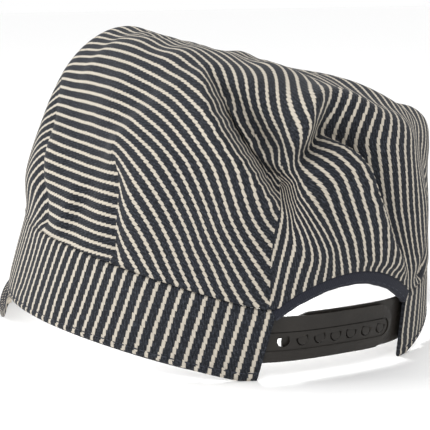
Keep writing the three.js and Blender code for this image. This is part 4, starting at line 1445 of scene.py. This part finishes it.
# %% Striped cloth
def new_finish(name):
    """A material with its tree and its surface shader."""
    finish = bpy.data.materials.new(name)
    finish.use_nodes = True
    return finish, finish.node_tree, finish.node_tree.nodes["Principled BSDF"]


def add_group(tree, group, **inputs):
    """Adds a group node and gives its outputs."""
    node = tree.nodes.new("ShaderNodeGroup")
    node.node_tree = group
    for label, value in inputs.items():
        join(tree, value, node.inputs[label])
    return node.outputs


def finish_surface(tree, surface, colour, roughness, height, strength, distance):
    """Links a colour, a roughness and a bump to a surface shader."""
    join(tree, colour, surface.inputs["Base Color"])
    join(tree, roughness, surface.inputs["Roughness"])
    bump = add_node(tree, "Bump", Height=height, Strength=strength, Distance=distance)
    join(tree, bump.outputs[0], surface.inputs["Normal"])


def cloth_place(tree):
    """The cloth coordinates, in metres on the fabric, and the place on the cap."""
    cloth = add_node(tree, "UVMap", [("uv_map", "cloth")]).outputs[0]
    return cloth, add_node(tree, "TexCoord").outputs["Object"]


INDIGO = (0.005, 0.006, 0.008, 1)
INDIGO_FADED = (0.040, 0.044, 0.054, 1)
UNDYED = (0.56, 0.51, 0.43, 1)
UNDYED_SOILED = (0.47, 0.42, 0.345, 1)

striped, tree, surface = new_finish("striped_denim")
cloth, spot = cloth_place(tree)
threads = add_group(tree, weave, Cloth=cloth)
light = add_group(tree, stripe, Cloth=cloth, Step=threads["Step"], Yarn=threads["Yarn"])["Light"]
age = add_group(tree, wear, Place=spot, Cloth=cloth)
worn = calc(tree, "MULTIPLY_ADD", threads["Rib"], 0.35, spread(
    tree, threads["Yarn"], 0.44, 0.62, 0.0, 0.85))
worn = calc(tree, "MULTIPLY", worn, spread(tree, age["Flecks"], 0.0, 0.6, 0.35, 1.3))
indigo = blend(tree, calc(tree, "MULTIPLY_ADD", age["Patches"], 0.1, worn),
               INDIGO, INDIGO_FADED)
undyed = blend(tree, calc(tree, "MULTIPLY_ADD", age["Patches"], 0.4, calc(
    tree, "MULTIPLY", age["Flecks"], 0.4)), UNDYED, UNDYED_SOILED)
surface.inputs["Sheen Weight"].default_value = 0.05
surface.inputs["Sheen Roughness"].default_value = 0.5
surface.inputs["Specular IOR Level"].default_value = 0.15
relief = calc(tree, "MULTIPLY_ADD", light, 0.5, calc(
    tree, "MULTIPLY_ADD", threads["Yarn"], 0.5, threads["Rib"]))
finish_surface(tree, surface, blend(tree, light, indigo, undyed),
               spread(tree, threads["Yarn"], 0.2, 0.8, 0.82, 0.97), relief, 0.35, 0.25 * MM)
for piece in (crown, band, visor):
    piece.data.materials.append(striped)
print("striped cloth on", crown.name, band.name, visor.name)

# %% [markdown]
# ## Sweatband, tape and thread
# The sweatband is plain dark cotton twill. The tape is cut on the bias, so its ribs run across
# it, and both take their unevenness from the same groups. The thread is twisted: a slanted wave
# along each stitch.

# %% Plain cottons
def plain_cotton(name, dark, pale, cloth_scale, strength):
    """A twill of one colour. A larger cloth_scale makes its weave finer."""
    finish, tree, surface = new_finish(name)
    cloth, spot = cloth_place(tree)
    cloth = add_node(tree, "VectorMath", [("operation", "SCALE")], Vector=cloth,
                     Scale=cloth_scale).outputs[0]
    threads = add_group(tree, weave, Cloth=cloth)
    age = add_group(tree, wear, Place=spot, Cloth=cloth)
    share = calc(tree, "MULTIPLY_ADD", threads["Rib"], 0.45, calc(
        tree, "MULTIPLY", age["Flecks"], 0.5))
    surface.inputs["Sheen Weight"].default_value = 0.1
    surface.inputs["Specular IOR Level"].default_value = 0.25
    relief = calc(tree, "MULTIPLY_ADD", threads["Yarn"], 0.6, threads["Rib"])
    finish_surface(tree, surface, blend(tree, share, dark, pale),
                   spread(tree, age["Patches"], 0.0, 1.0, 0.8, 0.95), relief, strength, 0.2 * MM)
    return finish


SWEAT_DARK, SWEAT_PALE = (0.007, 0.007, 0.010, 1), (0.020, 0.021, 0.027, 1)
TAPE_DARK, TAPE_PALE = (0.006, 0.007, 0.012, 1), (0.018, 0.020, 0.034, 1)
THREAD_DARK, THREAD_PALE = (0.010, 0.012, 0.020, 1), (0.045, 0.052, 0.075, 1)
sweat_cotton = plain_cotton("sweatband_cotton", SWEAT_DARK, SWEAT_PALE, 1.0, 0.4)
tape_cotton = plain_cotton("binding_cotton", TAPE_DARK, TAPE_PALE, 1.3, 0.45)
sweatband.data.materials.append(sweat_cotton)
binding.data.materials.append(tape_cotton)

thread, tree, surface = new_finish("sewing_thread")
spot = add_node(tree, "TexCoord").outputs["Object"]
twist = add_node(tree, "TexWave", [("bands_direction", "DIAGONAL")], Vector=spot, Scale=900.0,
                 Distortion=1.5)
lint = add_node(tree, "TexNoise", Vector=spot, Scale=900.0, Detail=2.0)
share = calc(tree, "MULTIPLY", twist.outputs["Fac"], lint.outputs[0])
finish_surface(tree, surface, blend(tree, share, THREAD_DARK, THREAD_PALE),
               spread(tree, lint.outputs[0], 0.3, 0.7, 0.6, 0.85),
               twist.outputs["Fac"], 0.5, 0.1 * MM)
for piece in (hem_sewing, visor_sewing, tape_sewing):
    piece.data.materials.append(thread)
print("plain cottons on", sweatband.name, binding.name, hem_sewing.name)

# %% [markdown]
# ## The strap's plastic
# The straps are injection-moulded in warm dark grey polyethylene. It has a fine matt grain from
# the mould and soft scuffs that are a little glossier, and it stays half dull.

# %% Strap plastic
PLASTIC_DARK, PLASTIC_PALE = (0.013, 0.011, 0.009, 1), (0.020, 0.017, 0.014, 1)
plastic, tree, surface = new_finish("strap_plastic")
spot = add_node(tree, "TexCoord").outputs["Object"]
grain = add_node(tree, "TexNoise", Vector=spot, Scale=2600.0, Detail=2.0).outputs[0]
flow = add_node(tree, "TexNoise", Vector=spot, Scale=60.0, Detail=3.0, Distortion=0.6).outputs[0]
scuff = spread(tree, add_node(tree, "TexNoise", Vector=spot, Scale=340.0, Detail=4.0).outputs[0],
               0.5, 0.68)
surface.inputs["Specular IOR Level"].default_value = 0.3
dullness = calc(tree, "MULTIPLY_ADD", scuff, -0.5, grain)
finish_surface(tree, surface,
               blend(tree, spread(tree, flow, 0.3, 0.7), PLASTIC_DARK, PLASTIC_PALE),
               spread(tree, dullness, 0.0, 0.7, 0.34, 0.56),
               calc(tree, "MULTIPLY_ADD", flow, 2.0, grain), 0.12, 0.15 * MM)
for piece in (strap_holes, strap_posts):
    piece.data.materials.append(plastic)
print("plastic on", strap_holes.name, strap_posts.name)

# %% [markdown]
# ## Hand the pieces over
# Every piece belongs to the one body of the cap and takes the place of its plain solid. The
# sewing has no solid of its own.

# %% Ride and replace
for piece, node, slot_name in (
        (crown, "crown", "striped_denim"), (band, "head_band", "striped_denim"),
        (visor, "visor", "striped_denim"), (sweatband, "sweatband", "sweatband"),
        (binding, "opening_binding", "binding"), (strap_holes, "snap_strap_holes", "strap_plastic"),
        (strap_posts, "snap_strap_posts", "strap_plastic"), (hem_sewing, None, "binding"),
        (visor_sewing, None, "binding"), (tape_sewing, None, "binding")):
    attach(piece, "root")
    if node:
        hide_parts(node)
print("pieces handed over", 10)

# %% [markdown]
# ## Floor and light
# The photo has a pure white ground and soft light from the upper left. The floor is plain and
# nearly white, the world is a white surround, and a large soft panel at the front left gives the
# folds their shade. A small one at the back left lights the folds that face the camera. A third
# inside the crown keeps the floor white where it is seen through the back opening.

# %% Stage and lights
NEAR_WHITE = (0.97, 0.97, 0.97, 1)
bpy.ops.mesh.primitive_plane_add(size=8)
floor = bpy.context.object
floor.name = "floor"
ground, tree, surface = new_finish("floor_white")
surface.inputs["Base Color"].default_value = NEAR_WHITE
surface.inputs["Roughness"].default_value = 0.9
floor.data.materials.append(ground)

surround = bpy.data.worlds.new("surround")
surround.use_nodes = True
surround.node_tree.nodes["Background"].inputs["Color"].default_value = (1, 1, 1, 1)
surround.node_tree.nodes["Background"].inputs["Strength"].default_value = 1.0
bpy.context.scene.world = surround


def soft_panel(name, place, target, size, watts):
    """A square lamp at a place, turned to a target."""
    lamp = bpy.data.lights.new(name, "AREA")
    lamp.size = size
    lamp.energy = watts
    holder = bpy.data.objects.new(name, lamp)
    holder.location = place
    aim_at = Vector(target) - Vector(place)
    holder.rotation_euler = aim_at.to_track_quat("-Z", "Y").to_euler()
    bpy.context.scene.collection.objects.link(holder)


cap_middle = (0, shift_y, 0.05)
soft_panel("key_panel", (0.98, -0.55, 0.75), cap_middle, 0.8, 9)
soft_panel("side_panel", (0.60, 0.78, 0.75), cap_middle, 0.25, 3.2)
soft_panel("inner_panel", (0.0, shift_y - 0.01, 0.085), (0.0, shift_y, 0.0), 0.05, 0.22)
bpy.context.scene.view_settings.view_transform = "Standard"
